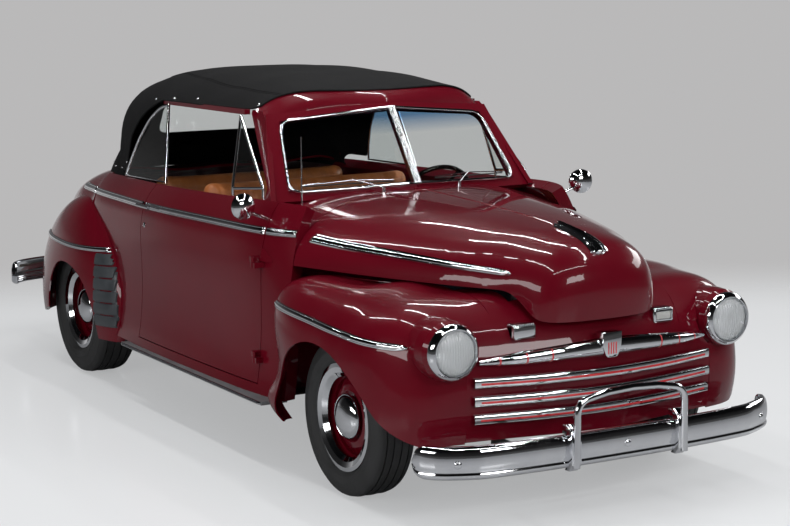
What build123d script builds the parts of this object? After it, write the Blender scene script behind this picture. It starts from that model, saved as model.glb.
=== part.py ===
"""A 1940s two-door convertible with its top up: body panels, running gear and trim as separate pieces.

Millimetres. +X is forward, +Y is the car's left, +Z is up. The origin is on the ground at the middle of the
overall length. Sheet panels are lofts of thin closed sections, so each has its own wall from the start.
"""

import os
from math import cos, pi, radians, sin

from build123d import *

# ---------------------------------------------------------------- driving dimensions
FRONT_AXLE_X = 1600.0
REAR_AXLE_X = -1296.0
OVERALL_HALF = 2500.0
SHEET = 7.0  # wall of fenders, hood and lids
SHUT_GAP = 5.0  # gap round doors, hood and deck lid

FRONT_TYRE_R = 330.0
FRONT_TYRE_W = 190.0
REAR_TYRE_R = 355.0
REAR_TYRE_W = 225.0
RIM_R = 200.0
FRONT_TRACK_HALF = 728.0
REAR_TRACK_HALF = 735.0
AXLE_HOLE_R = 30.0

BODY_FLOOR_Z = 300.0
DOOR_REAR_X = -390.0
DOOR_FRONT_X = 890.0
DOOR_BOTTOM_Z = 345.0
DOOR_HINGE = (892.5, 853.0)  # x, y of the hinge line, outside the skin
WALL = 62.0  # thickness of doors and body sides


# ---------------------------------------------------------------- helpers
def power(value, exponent):
    """value to an exponent with its sign kept, as superellipses need."""
    return abs(value) ** exponent * (1 if value >= 0 else -1)


def offset_inward(points, thickness):
    """The same open profile moved to its right-hand side by thickness, in its own plane."""
    moved = []
    for i, (a, b) in enumerate(points):
        a0, b0 = points[max(i - 1, 0)]
        a1, b1 = points[min(i + 1, len(points) - 1)]
        da, db = a1 - a0, b1 - b0
        size = (da * da + db * db) ** 0.5
        moved.append((a + db / size * thickness, b - da / size * thickness))
    return moved


def sheet_section(profile, place, thickness=SHEET):
    """A thin closed section: the outer profile, the same moved inward, and two ends. place maps (a, b) to XYZ."""
    outer = [place(a, b) for a, b in profile]
    inner = [place(a, b) for a, b in offset_inward(profile, thickness)]
    return Wire([
        Spline(*outer).edge(),
        Line(outer[-1], inner[-1]).edge(),
        Spline(*reversed(inner)).edge(),
        Line(inner[0], outer[0]).edge(),
    ])


def closed_section(profile, place):
    """A closed section: a spline over the profile, and a straight line back."""
    points = [place(a, b) for a, b in profile]
    return Wire([Spline(*points).edge(), Line(points[-1], points[0]).edge()])


def upright(x):
    """Places (y, z) in the plane across the car at x."""
    return lambda a, b: (x, a, b)


def fan(x_centre, z_centre, angle):
    """Places (y, radius) in a plane turned about a crosswise axis: 90 degrees is upright, 0 lies level, forward."""
    c, s = cos(radians(angle)), sin(radians(angle))
    return lambda a, b: (x_centre + b * c, a, z_centre + b * s)


def box(x0, x1, y0, y1, z0, z1):
    return Pos((x0 + x1) / 2, (y0 + y1) / 2, (z0 + z1) / 2) * Box(x1 - x0, y1 - y0, z1 - z0)


def side_prism(points, y0, y1):
    """An outline in the side view (x, z), extruded across the car from y0 to y1."""
    face = make_face(Polyline(*[(x, y0, z) for x, z in points], close=True))
    return extrude(face, amount=y1 - y0, dir=(0, 1, 0))


def rod(start, end, radius):
    """A straight round bar between two points."""
    along = Vector(*end) - Vector(*start)
    return extrude(Plane(origin=start, z_dir=along) * Circle(radius), amount=along.length, dir=along)


def tube(points, radius, bends):
    """A round bar along a path of straight runs joined by arcs."""
    path = FilletPolyline(*points, radius=bends)
    return sweep(Plane(origin=path @ 0, z_dir=path % 0) * Circle(radius), path=path)


def disc(x, y, z, radius, width, hole=0.0):
    """A round slab standing across the car, centred on y, with an optional bore."""
    shape = Pos(x, y, z) * Rot(90, 0, 0) * Cylinder(radius, width)
    return shape - Pos(x, y, z) * Rot(90, 0, 0) * Cylinder(hole, width) if hole else shape


def both_sides(shape):
    """A piece and its mirror image, as one compound of separate solids."""
    return Compound(children=[*shape.solids(), *mirror_y(shape).solids()])


def group(*shapes):
    """Separate solids of one node."""
    return Compound(children=[solid for shape in shapes for solid in shape.solids()])


def mirror_y(shape):
    return mirror(shape, about=Plane.XZ)


def save(shape, name):
    """Writes one node, as one solid or as a compound of its solids."""
    solids = shape.solids()
    whole = solids[0] if len(solids) == 1 else Compound(children=list(solids))
    export_step(whole, f"parts/{name}.step")


# ---------------------------------------------------------------- hood and cowl
HOOD_LINE_Z = 885.0  # its lower edge along the fenders
HOOD_NOSE_Z = 768.0  # its lower edge across the nose
HOOD_FAN = (2070.0, 700.0)  # crosswise axis that the nose sections turn about
# x, half width at the base, height of the base, height of the crown
HOOD_STATIONS = [
    (690, 868, 855, 1158),
    (870, 832, 855, 1152),
    (1050, 772, 855, 1147),
    (1300, 692, 855, 1140),
    (1550, 603, 855, 1130),
    (1800, 500, 855, 1114),
    (1960, 425, 853, 1101),
    (2070, 366, 850, 1088),
]
# angle, half width, radius at the side edge, radius at the centre
HOOD_NOSE = [
    (72, 340, 142, 381),
    (55, 318, 134, 366),
    (40, 306, 128, 318),
    (22, 296, 118, 252),
    (5, 290, 108, 224),
]
FIREWALL_X = 896.0
HOOD_HINGE = (903.0, 1152.5, 14.0)
HINGE_HALF = 30.0
FIT = 0.4  # running clearance of pins and bores
HOOD_SEAM_X = 905.0  # rear edge of the hood at the centre


def hood_profile(half_width, low, high):
    """Across the hood from its right base over the crown to its left base."""
    rise = high - low
    points = []
    for step in range(17):
        angle = pi * (1 - step / 16)
        across = half_width * power(cos(angle), 2 / 2.5)
        points.append((across, low + rise * power(sin(angle), 2 / 2.3)))
    return points


def hood_sheet():
    """The whole engine cover as one sheet, from the windshield to the nose."""
    sections = []
    for x, half_width, low, high in HOOD_STATIONS:
        sections.append(sheet_section(hood_profile(half_width, low, high), upright(x)))
    for angle, half_width, low, high in HOOD_NOSE:
        sections.append(sheet_section(hood_profile(half_width, low, high), fan(*HOOD_FAN, angle)))
    shell = Solid.make_loft(sections)
    lower = Spline((2080, 0, HOOD_LINE_Z), (2165, 0, 848), (2230, 0, 785), (2300, 0, HOOD_NOSE_Z),
                   tangents=[(1, 0, 0), (1, 0, 0)])
    rest = Polyline((2300, 0, HOOD_NOSE_Z), (2420, 0, HOOD_NOSE_Z), (2420, 0, 400), (600, 0, 400),
                    (600, 0, HOOD_LINE_Z), (2080, 0, HOOD_LINE_Z))
    below = make_face(lower.edges() + rest.edges())
    return shell - extrude(below, amount=900, both=True, dir=(0, 1, 0))


def cover_core():
    """The volume under the engine cover near the windshield, for pieces that stand on it."""
    sections = []
    for x, half_width, low, high in HOOD_STATIONS[:3]:
        sections.append(closed_section(hood_profile(half_width + 0.3, low, high + 0.3), upright(x)))
    return Solid.make_loft(sections)


def seam_prism(shift):
    """Everything behind the hood's rear seam, seen from above."""
    x = HOOD_SEAM_X + shift
    edge = Spline((x + 215, -900, 0), (x + 165, -700, 0), (x + 40, -350, 0), (x, 0, 0),
                  (x + 40, 350, 0), (x + 165, 700, 0), (x + 215, 900, 0))
    rest = Polyline((x + 215, 900, 0), (500, 900, 0), (500, -900, 0), (x + 215, -900, 0))
    return extrude(make_face(edge.edges() + rest.edges()), amount=1500, dir=(0, 0, 1))


def lid_hinge(x, z, reach):
    """A short piano hinge across the car: (fixed lugs and pin, the moving leaf). reach points to the leaf."""
    pin = rod((x, -HINGE_HALF, z), (x, HINGE_HALF, z), 2.2)
    lugs = rod((x, -HINGE_HALF - 8, z), (x, -HINGE_HALF, z), 4.5) + rod((x, HINGE_HALF, z), (x, HINGE_HALF + 8, z), 4.5)
    for side in (1, -1):
        middle = side * (HINGE_HALF + 4)
        lugs += box(min(x, x - reach), max(x, x - reach), middle - 4, middle + 4, z - 8, z - 1)
    leaf = rod((x, -HINGE_HALF + FIT, z), (x, HINGE_HALF - FIT, z), 4.5)
    leaf += box(min(x, x + reach), max(x, x + reach), -HINGE_HALF + FIT, HINGE_HALF - FIT, z - 8, z - 1)
    bore = rod((x, -HINGE_HALF, z), (x, HINGE_HALF, z), 2.2 + FIT)
    return pin + lugs, leaf - bore


def hood(sheet):
    return sheet - seam_prism(SHUT_GAP) + lid_hinge(*HOOD_HINGE)[1]


def cowl(sheet):
    """The panel between hood and windshield, with the firewall below it."""
    panel = sheet & seam_prism(0)
    firewall = cover_core() & box(FIREWALL_X, FIREWALL_X + 8, -790, 790, 850, 1149)
    panel += firewall + box(FIREWALL_X, FIREWALL_X + 8, -790, 790, BODY_FLOOR_Z + 4, 856)
    panel -= box(HOOD_HINGE[0] - 10, 930, -HINGE_HALF - 1, HINGE_HALF + 1, 1140, 1160)
    panel += lid_hinge(*HOOD_HINGE)[0]
    panel -= box(600, FIREWALL_X - 1, 640, 900, 0, 1300) + box(600, FIREWALL_X - 1, -900, -640, 0, 1300)
    panel -= body_side(1.0) + mirror_y(body_side(1.0))
    panel -= extrude(column_plane() * Circle(COLUMN_R + FIT), amount=700, both=True)
    return panel - Pos(FIREWALL_X, 0, BODY_FLOOR_Z) * Rot(0, 90, 0) * Cylinder(TUNNEL_R + 6, 30)


# ---------------------------------------------------------------- front fenders and grille panel
FENDER_HALF = 930.0
FENDER_EDGE = 0.9965  # share of the half width where a fender's sections stop, inside its wheel opening
NOSE_AXIS = (FRONT_AXLE_X, 420.0)
# angle about the wheel, radius of the crown, inner edge y, roundness
FRONT_FENDER_FAN = [
    (205, 478, 800, 2.6),
    (180, 516, 792, 2.6),
    (160, 540, 780, 2.7),
    (141, 616, 752, 3.0),
    (120, 512, 640, 3.4),
    (90, 447, 540, 3.6),
    (64, 496, 441, 3.6),
    (49, 578, 441, 3.5),
    (37, 642, 441, 3.4),
    (24, 652, 441, 3.2),
    (10, 634, 441, 3.2),
    (-4, 620, 441, 3.2),
    (-16, 616, 441, 3.2),
]
NOSE_BULGE = 80.0  # how far the centre of the grille panel stands ahead of the fenders


GRILLE_HALF = 595.0
PANEL_HALF = 440.0  # seam between fender and panel beside the parking lamps
HEADLIGHT = (2242.0, 668.0, 693.0)
LAMP_R = 108.0


def fender_arc(inner, outer, radius, roundness, bulge=0.0):
    """(y, radius) across a fender: blunt at the crown, rounding off to the outer face."""
    points = []
    last = 88.0
    for step in range(15):
        angle = radians(last * step / 14)
        t = power(sin(angle), 2 / roundness)
        height = radius * power(cos(angle), 2 / roundness)
        y = inner + (outer - inner) * t
        points.append((y, height + nose_bulge(y, bulge)))
    return points


def nose_bulge(y, bulge):
    """Extra reach of the nose towards its centre line."""
    return bulge * cos(pi / 2 * y / 640) ** 2 if abs(y) < 640 else 0.0


def fender(axis, sections_about_wheel, thickness=SHEET):
    """A left fender: one sheet lofted through sections that turn about a crosswise axis near its wheel."""
    sections = []
    for angle, radius, inner, roundness in sections_about_wheel:
        bulge = NOSE_BULGE * max(0.0, min(1.0, (58 - angle) / 30)) if axis is NOSE_AXIS else 0.0
        profile = fender_arc(inner, FENDER_HALF, radius, roundness, bulge)
        sections.append(sheet_section(profile, fan(*axis, angle), thickness))
    return Solid.make_loft(sections)


def opening(outline, y0, y1):
    """A closed side-view outline as a prism across the car."""
    return extrude(make_face(outline.edges() + Line(outline @ 1, outline @ 0).edges()), amount=y1 - y0, dir=(0, 1, 0))


def front_arch(y):
    """Wheel opening of the front fender, as a side-view outline."""
    return Spline(
        (1176, y, 150), (1190, y, 260), (1232, y, 420), (1330, y, 560), (1500, y, 640), (1640, y, 640),
        (1800, y, 590), (1930, y, 500), (2030, y, 400), (2110, y, 340), (2170, y, 300), (2200, y, 150),
    )


def front_fender():
    """The left front fender; the right one is its mirror image."""
    shell = fender(NOSE_AXIS, FRONT_FENDER_FAN)
    shell -= opening(front_arch(690), 690, 1000)
    shell -= box(900, 2600, 200, 1000, 0, 235) + box(2000, 2600, 200, 1000, 0, 318)
    shell -= box(1750, 2600, 200, PANEL_HALF + FIT, 200, 1000) + box(2000, 2600, 200, GRILLE_HALF + FIT, 200, 694 + FIT)
    shell = headlight_nacelle(shell) + fender_apron()
    return max((shell - body_core()).solids(), key=lambda solid: solid.volume)


def fender_apron():
    """Inner wall of the front wheelhouse: from the frame rail up and out to the fender's inner edge."""
    sections = []
    for angle, radius, inner, _ in FRONT_FENDER_FAN[2:9]:
        flare = max(radius * 0.78, 395)
        foot = RAIL_HALF + 40
        profile = [(foot, 50), (foot, flare * 0.5), (foot + 2, flare), ((foot + inner) / 2 + 4, (flare + radius) / 2 + 4),
                   (inner + 8, radius - SHEET / 2)]
        sections.append(sheet_section(profile, fan(*NOSE_AXIS, angle), 2.5))
    apron = Solid.make_loft(sections)
    rail_top = [(1000, 300), (1160, 300), (1450, 440), (1900, 440), (2215, 420), (2215, 0), (1000, 0)]
    lifted = [(x, z + FIT if z else 0) for x, z in rail_top]
    return apron - side_prism(lifted, 350, 1000) - box(1850, 2400, 200, PANEL_HALF + FIT, 200, 1000)


def revolved(profile, place):
    """A closed (distance, radius) outline turned about the X axis, then moved to a place."""
    face = make_face(Polyline(*[(x, 0, r) for x, r in profile], close=True))
    return revolve(face, axis=Axis.X).moved(Location(place))


def headlight_nacelle(shell):
    """Swells the fender to the headlight and bores it for the lamp."""
    outer = [(-190, 0), (-190, 118), (-90, 122), (-40, 119), (-14, LAMP_R), (-14, 0)]
    shell += revolved(outer, HEADLIGHT)
    return shell - revolved([(-400, 0), (-400, 108), (-30, 102), (0, 102), (0, 0)], HEADLIGHT)


def grille_panel(grow=0.0):
    """The sheet between the fenders: catwalk, grille field and the apron above the bumper."""
    sections = []
    for angle, radius, _, roundness in FRONT_FENDER_FAN[6:]:
        bulge = NOSE_BULGE * max(0.0, min(1.0, (58 - angle) / 30))
        profile = []
        for step in range(21):
            y = -620 + 62 * step
            t = max(abs(y) - PANEL_HALF, 0) / (FENDER_HALF - PANEL_HALF)
            profile.append((y, grow + radius * (1 - t**roundness) ** (1 / roundness) + nose_bulge(y, bulge)))
        sections.append(sheet_section(profile, fan(*NOSE_AXIS, angle), SHEET + grow))
    shell = Solid.make_loft(sections)
    field = box(1850, 2600, -GRILLE_HALF, GRILLE_HALF, 325, 694)
    shell &= field + box(1850, 2600, -PANEL_HALF, PANEL_HALF, 690, 1000)
    nacelle = revolved([(-200, 0), (-200, 126), (0, 126), (0, 0)], HEADLIGHT)
    shell -= nacelle + mirror_y(nacelle) + box(1800, 2105, -330, 330, 600, 1000)
    return shell - parking_lights(0.4)


# ---------------------------------------------------------------- rear fenders
REAR_AXIS = (REAR_AXLE_X - 20, 380.0)
REAR_FENDER_FAN = [
    (-14, 640, 820, 2.3),
    (0, 648, 815, 2.3),
    (20, 640, 800, 2.3),
    (45, 610, 770, 2.4),
    (70, 588, 730, 2.4),
    (90, 578, 700, 2.4),
    (110, 582, 672, 2.4),
    (135, 612, 640, 2.4),
    (158, 648, 600, 2.4),
    (180, 655, 570, 2.4),
    (194, 640, 560, 2.4),
]


def rear_arch(y):
    x = REAR_AXLE_X
    return Spline(
        (x + 470, y, 150), (x + 440, y, 300), (x + 380, y, 430), (x + 250, y, 555), (x + 60, y, 612),
        (x - 90, y, 585), (x - 180, y, 480), (x - 225, y, 350), (x - 240, y, 150),
    )


def rear_fender():
    shell = fender(REAR_AXIS, REAR_FENDER_FAN)
    shell -= opening(rear_arch(690), 690, 1000)
    shell -= box(-2300, -400, 400, 1000, 0, 262)
    return max((shell - body_core()).solids(), key=lambda solid: solid.volume)


# ---------------------------------------------------------------- body sides and doors
# x, sill y and z, belt y, middle y, low y, bottom y
SIDE_STATIONS = [
    (1140, 620, 1124, 690, 762, 786, 808),
    (890, 718, 1136, 790, 815, 826, 850),
    (560, 736, 1126, 808, 830, 840, 868),
    (100, 744, 1110, 816, 838, 848, 876),
    (-390, 740, 1098, 812, 836, 846, 872),
    (-800, 716, 1090, 790, 820, 830, 850),
    (-1150, 688, 1082, 758, 800, 812, 826),
]
BELT_Z = 1000.0
WELL_R = 408.0


def side_profile(sill_y, sill_z, belt, middle, low, bottom):
    return [(sill_y, sill_z), (belt, BELT_Z), (middle, 720), (low, 450), (bottom, BODY_FLOOR_Z)]


def body_side(grow=0.0):
    """The whole side from cowl to tail as one thick wall."""
    sections = []
    for x, *values in SIDE_STATIONS:
        profile = offset_inward(side_profile(*values), -grow)
        sections.append(sheet_section(profile, upright(x), WALL + 2 * grow))
    return Solid.make_loft(sections) - box(-1400, 1300, 500, 1100, 100, BODY_FLOOR_Z)


def door_outline(grow):
    """The door in the side view, grown by the shut gap for its opening."""
    return box(DOOR_REAR_X - grow, DOOR_FRONT_X + grow, 500, 1000, DOOR_BOTTOM_Z - grow, 1300)


def door_hinges():
    """Two outside hinges of the left door: (fixed lower knuckles with pins, moving upper knuckles)."""
    x, y = DOOR_HINGE
    fixed, moving = [], []
    for z, skin in ((450, 815), (870, 800)):
        lower = Pos(x, y, z) * Cylinder(9, 24) + box(x, x + 26, skin, y + 4, z - 12, z + 12)
        fixed.append(lower + Pos(x, y, z + 12.4) * Cylinder(5, 48))
        upper = Pos(x, y, z + 24.6) * Cylinder(9, 24) + box(x - 26, x, skin, y + 4, z + 12.6, z + 36.6)
        moving.append(upper - Pos(x, y, z + 24.6) * Cylinder(5 + FIT, 24))
    return fixed, moving


def door():
    """The left door with the moving halves of its hinges."""
    moving = door_hinges()[1]
    return (body_side() & door_outline(0)) + moving[0] + moving[1]


def quarter_and_cowl():
    """Body side without its door: cowl side, rocker and quarter in one piece."""
    side = body_side() - door_outline(SHUT_GAP)
    side &= seam_prism(0) + box(-1300, 1030, 500, 1000, 200, 882) + box(-1300, 700, 500, 1000, 200, 1300)
    fixed = door_hinges()[0]
    return side - wheel_well(1) + fixed[0] + fixed[1]


def wheel_well(side):
    """The space that a rear tyre turns in, inside its fender."""
    return disc(REAR_AXLE_X, side * 800, REAR_TYRE_R, WELL_R, 400) + box(
        REAR_AXLE_X - WELL_R, REAR_AXLE_X + WELL_R, min(side * 600, side * 1000), max(side * 600, side * 1000), 0, REAR_TYRE_R)


# ---------------------------------------------------------------- tail and deck lid
# x, low half width, belt half width and z, shoulder half width and z, top z
TAIL_STATIONS = [
    (-1155, 815, 757, 1000, 688, 1070, 1090),
    (-1450, 780, 712, 985, 615, 1050, 1072),
    (-1750, 720, 645, 920, 530, 990, 1018),
    (-1980, 650, 572, 815, 450, 895, 925),
    (-2120, 585, 505, 700, 380, 780, 812),
    (-2205, 520, 440, 575, 320, 650, 680),
    (-2245, 460, 385, 480, 270, 545, 570),
]
TAIL_WALL = 12.0
LID_FRONT_X = -1600.0
LID_HINGE = (-1594.5, 1048.5, -16.0)


def tail_profile(low, belt, belt_z, shoulder, shoulder_z, top):
    half = [(low, 330), (low * 0.55 + belt * 0.45, (330 + belt_z) / 2), (belt, belt_z), (shoulder, shoulder_z),
            (shoulder * 0.5, top - (top - shoulder_z) * 0.25)]
    return [(-y, z) for y, z in half] + [(0, top)] + [(y, z) for y, z in reversed(half)]


def tail_shell():
    sections = [sheet_section(tail_profile(*values), upright(x), TAIL_WALL) for x, *values in TAIL_STATIONS]
    shell = Solid.make_loft(sections)
    x, *values = TAIL_STATIONS[-1]
    pan = make_face(closed_section(tail_profile(*values), upright(x)).edges())
    return shell + extrude(pan, amount=TAIL_WALL, dir=(-1, 0, 0))


def lid_outline(grow):
    """The deck lid seen from above, narrower at the tail."""
    front, rear = LID_FRONT_X + grow, -2400
    outline = Polyline((front, 500 + grow, 0), (rear, 330 + grow, 0), (rear, -330 - grow, 0),
                       (front, -500 - grow, 0), close=True)
    return extrude(make_face(outline), amount=900, dir=(0, 0, 1)).moved(Location((0, 0, 600 - grow)))


CORE_GROW = 0.6  # seam between the body's skin and what stands against it


def body_core():
    """The volume inside the body's outer skin, a little grown, for pieces that stand against it."""
    side, tail = [], []
    for x, *values in SIDE_STATIONS:
        profile = offset_inward(side_profile(*values), -CORE_GROW)
        edges = [(0, profile[0][1])] + profile + [(0, 200)]
        side.append(Wire([Line(upright(x)(*edges[0]), upright(x)(*edges[1])).edge(),
                          Spline(*[upright(x)(*point) for point in edges[1:-1]]).edge(),
                          Line(upright(x)(*edges[-2]), upright(x)(*edges[-1])).edge(),
                          Line(upright(x)(*edges[-1]), upright(x)(*edges[0])).edge()]))
    for x, *values in TAIL_STATIONS:
        tail.append(closed_section(offset_inward(tail_profile(*values), -CORE_GROW), upright(x)))
    return Solid.make_loft(side) + mirror_y(Solid.make_loft(side)) + Solid.make_loft(tail)


def tail_core(inset):
    sections = []
    for x, *values in TAIL_STATIONS:
        sections.append(closed_section(offset_inward(tail_profile(*values), inset), upright(x)))
    return Solid.make_loft(sections)


def deck_lid():
    return (tail_shell() & lid_outline(0)) + lid_hinge(*LID_HINGE)[1]


def rear_body():
    shell = tail_shell() - lid_outline(SHUT_GAP) - wheel_well(1) - wheel_well(-1) - tail_lamp_bodies(0.4)
    irons = box(-2300, -2200, 410, 445, 380, 430)
    shell -= irons + mirror_y(irons) + box(-2400, -1100, -900, 900, 200, 331)
    shell -= box(LID_HINGE[0] - 8, LID_HINGE[0] + 8, -HINGE_HALF - 1, HINGE_HALF + 1, 1000, 1100)
    return shell + lid_hinge(*LID_HINGE)[0]


def tail_lamp_bodies(grow):
    lamp = Plane(origin=(-2075, 505, 628), x_dir=(0, 1, 0), z_dir=(-1, 0, 0)) * Ellipse(48 + grow, 30 + grow)
    return both_sides(extrude(lamp, amount=97))


# ---------------------------------------------------------------- windshield
PANE_TOP = (538.0, 536.0, 1451.0)  # corners of the left pane
PANE_LOW = (753.0, 598.0, 1150.0)
PANE_MIDDLE_TOP = (622.0, 12.0, 1500.0)
PANE_MIDDLE_LOW = (862.0, 12.0, 1166.0)


def pane_plane():
    """The plane of the left pane, its x axis along the lower edge and its z axis outward."""
    low, middle = Vector(*PANE_LOW), Vector(*PANE_MIDDLE_LOW)
    across = low - middle
    up = Vector(*PANE_MIDDLE_TOP) - middle
    return Plane(origin=middle, x_dir=across, z_dir=up.cross(across) * -1)


def pane_outline(grow):
    """The left pane's outline on its plane, grown all round."""
    plane = pane_plane()
    corners = [plane.to_local_coords(Vector(*p)) for p in (PANE_MIDDLE_LOW, PANE_LOW, PANE_TOP, PANE_MIDDLE_TOP)]
    face = make_face(Polyline(*[(c.X, c.Y) for c in corners], close=True))
    return offset(face, amount=grow) if grow else face


def windshield_frame():
    """Both halves of the frame with the centre bar, as one welded piece."""
    plane = pane_plane()
    half = extrude(plane * pane_outline(34), amount=16, both=True)
    half -= extrude(plane * pane_outline(0), amount=40, both=True)
    half &= box(300, 1100, 0, 700, 1125, 1600)
    return max((half + mirror_y(half) - cover_core()).solids(), key=lambda solid: solid.volume)


def windshield_glass():
    pane = extrude(pane_plane() * pane_outline(-1), amount=2.5, both=True)
    return both_sides(pane)


# ---------------------------------------------------------------- soft top
TOP_BASE_Z = 1040.0
TOP_WALL = 8.0
# x, half width, crown height, roundness
TOP_STATIONS = [
    (560, 640, 1560, 5.0),
    (350, 690, 1618, 3.8),
    (0, 735, 1655, 3.1),
    (-350, 745, 1652, 3.0),
    (-700, 735, 1628, 3.0),
    (-1000, 705, 1585, 2.9),
]
TOP_REAR_AXIS = (-1000.0, TOP_BASE_Z)
# angle behind upright, half width, radius, roundness
TOP_REAR = [
    (18, 702, 556, 2.8),
    (32, 700, 548, 2.7),
    (50, 698, 515, 2.6),
    (70, 696, 520, 2.5),
    (88, 694, 560, 2.5),
]


def half_round(half_width, rise, roundness, base=0.0):
    """Across a top-like section from right to left."""
    points = []
    for step in range(21):
        angle = pi * (1 - (step + 0.2) / 20.4)
        points.append((half_width * power(cos(angle), 2 / roundness), base + rise * power(sin(angle), 2 / roundness)))
    return points


def top_sheet():
    sections = []
    for x, half_width, crown, roundness in TOP_STATIONS:
        profile = half_round(half_width, crown - TOP_BASE_Z, roundness, TOP_BASE_Z)
        sections.append(sheet_section(profile, upright(x), TOP_WALL))
    for angle, half_width, radius, roundness in TOP_REAR:
        profile = half_round(half_width, radius, roundness)
        sections.append(sheet_section(profile, fan(*TOP_REAR_AXIS, 90 + angle), TOP_WALL))
    return Solid.make_loft(sections)


def rear_window(grow, y=330.0):
    """The rear window's outline seen from behind, as a prism along the car."""
    face = Pos(0, 0, 1345) * RectangleRounded(2 * y + 2 * grow, 170 + 2 * grow, 70)
    plane = Plane(origin=(-1150, 0, 1345), x_dir=(0, 1, 0), z_dir=(-1, 0, 0))
    face = plane * RectangleRounded(2 * y + 2 * grow, 170 + 2 * grow, 70)
    return extrude(face, amount=500)


def convertible_top(sheet):
    """The cloth roof, open at the doors and quarter windows, with its rear window cut out."""
    cut = Polyline((620, -900, 1508), (-560, -900, 1500), (-700, -900, 1420), (-800, -900, 1300),
                   (-858, -900, 1100), (-880, -900, 980), (620, -900, 980), close=True)
    shell = sheet - extrude(make_face(cut), amount=1800, dir=(0, 1, 0))
    shell = shell - body_core() - rear_window(0)
    return max(shell.solids(), key=lambda solid: solid.volume)


def top_rear_window(sheet):
    return sheet & rear_window(-0.5)


# ---------------------------------------------------------------- chassis
RAIL_TOP_Z = 296.0
RAIL_HALF = 400.0  # side rails' inner faces from the centre line
# x, z of a rail's underside
RAIL_PATH = [(2215, 330), (1900, 350), (1450, 350), (1150, 205), (-810, 205), (-1070, 440), (-1550, 440),
             (-2150, 330)]
CROSSMEMBERS = [(2060, 345), (1700, 350), (-1366, 470), (-2100, 345)]
EXHAUST_PATH = [(1250, -210.4, 520), (1250, -300, 520), (1120, -300, 262), (-940, -300, 262), (-1120, -300, 520),
                (-1480, -300, 520), (-1720, -300, 300), (-2330, -300, 285)]
TUNNEL_R = 95.0


def chassis_frame():
    """Ladder frame with its X member, crossmembers and bumper irons."""
    top = [(x, z + 90) for x, z in reversed(RAIL_PATH)]
    rail = side_prism(RAIL_PATH + top, RAIL_HALF, RAIL_HALF + 55)
    rail += box(2150, 2435, 415, 440, 255, 318) + box(-2474, -2090, 415, 440, 385, 425)
    rail += box(2150, 2215, 415, 440, 255, 340)
    frame = rail + mirror_y(rail)
    for x, z in CROSSMEMBERS:
        frame += box(x - 45, x + 45, -RAIL_HALF - 20, RAIL_HALF + 20, z, z + 55)
    for x in (1150, -700):
        frame += box(x - 45, x + 45, -RAIL_HALF - 20, RAIL_HALF + 20, 205, 245)
    for sign in (1, -1):
        brace = Pos(225, 0, 225) * Rot(0, 0, sign * 23) * Box(1980, 60, 40)
        frame += brace & box(-720, 1160, -RAIL_HALF - 10, RAIL_HALF + 10, 205, 245)
    return frame - tube(EXHAUST_PATH, 25, 40) - front_bumper(0.4) - rear_bumper(0.4)


def floor_pan():
    """Floor with its tunnel, the step behind the rear seat, the trunk floor and the rear wheelhouses."""
    tunnel = Pos(110, 0, BODY_FLOOR_Z) * Rot(0, 90, 0) * Cylinder(TUNNEL_R + 4, 1800)
    floor = box(-790, 1010, -735, 735, BODY_FLOOR_Z - 2, BODY_FLOOR_Z + 4) + tunnel
    floor -= Pos(110, 0, BODY_FLOOR_Z) * Rot(0, 90, 0) * Cylinder(TUNNEL_R, 1810) + box(-800, 1020, -300, 300, 0, 298)
    step = box(-796, -790, -590, 590, BODY_FLOOR_Z - 2, 620) - box(-800, -780, -90, 90, 200, 398)
    trunk = box(-2040, -790, -592, 592, 614, 620) & (tail_core(TAIL_WALL + 6) + box(-1155, -790, -592, 592, 600, 640))
    for sign in (1, -1):
        arch = disc(REAR_AXLE_X, sign * 665, REAR_TYRE_R, WELL_R, 150) - disc(REAR_AXLE_X, sign * 665, REAR_TYRE_R, 404, 150)
        wall = disc(REAR_AXLE_X, sign * 593, REAR_TYRE_R, WELL_R, 6)
        well = (arch + wall) & box(-1800, -790, -900, 900, 480, 900)
        trunk += well & (tail_core(TAIL_WALL + 0.5) + box(-1155, -790, -725, 725, 400, 900))
    return floor + step + trunk


def engine():
    """Engine block with its gearbox, as plain masses of the real size."""
    return box(1120, 1720, -210, 210, 405, 860) + Pos(870, 0, 320) * Rot(0, 90, 0) * Cylinder(70, 502) + box(
        1118, 1200, -70, 70, 300, 410)


def exhaust():
    muffler = Pos(375, -300, 255) * Rot(0, 90, 0) * Cylinder(41, 450)
    return tube(EXHAUST_PATH, 22, 40) + muffler


# ---------------------------------------------------------------- axles and steering
KINGPIN_HALF = 600.0
PIN_R = 12.0
SPINDLE_R = 20.0
ARM_BACK = 150.0  # tie rod ends behind the kingpins


def leaf_spring(x, end_half, end_z, centre_z, width=45, depth=26):
    lower = Spline((x, -end_half, end_z), (x, 0, centre_z), (x, end_half, end_z))
    upper = Spline((x, end_half, end_z + depth), (x, 0, centre_z + depth), (x, -end_half, end_z + depth))
    face = make_face([*lower.edges(), Line(lower @ 1, upper @ 0).edge(), *upper.edges(), Line(upper @ 1, lower @ 0).edge()])
    return extrude(face, amount=width / 2, both=True, dir=(1, 0, 0))


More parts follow.
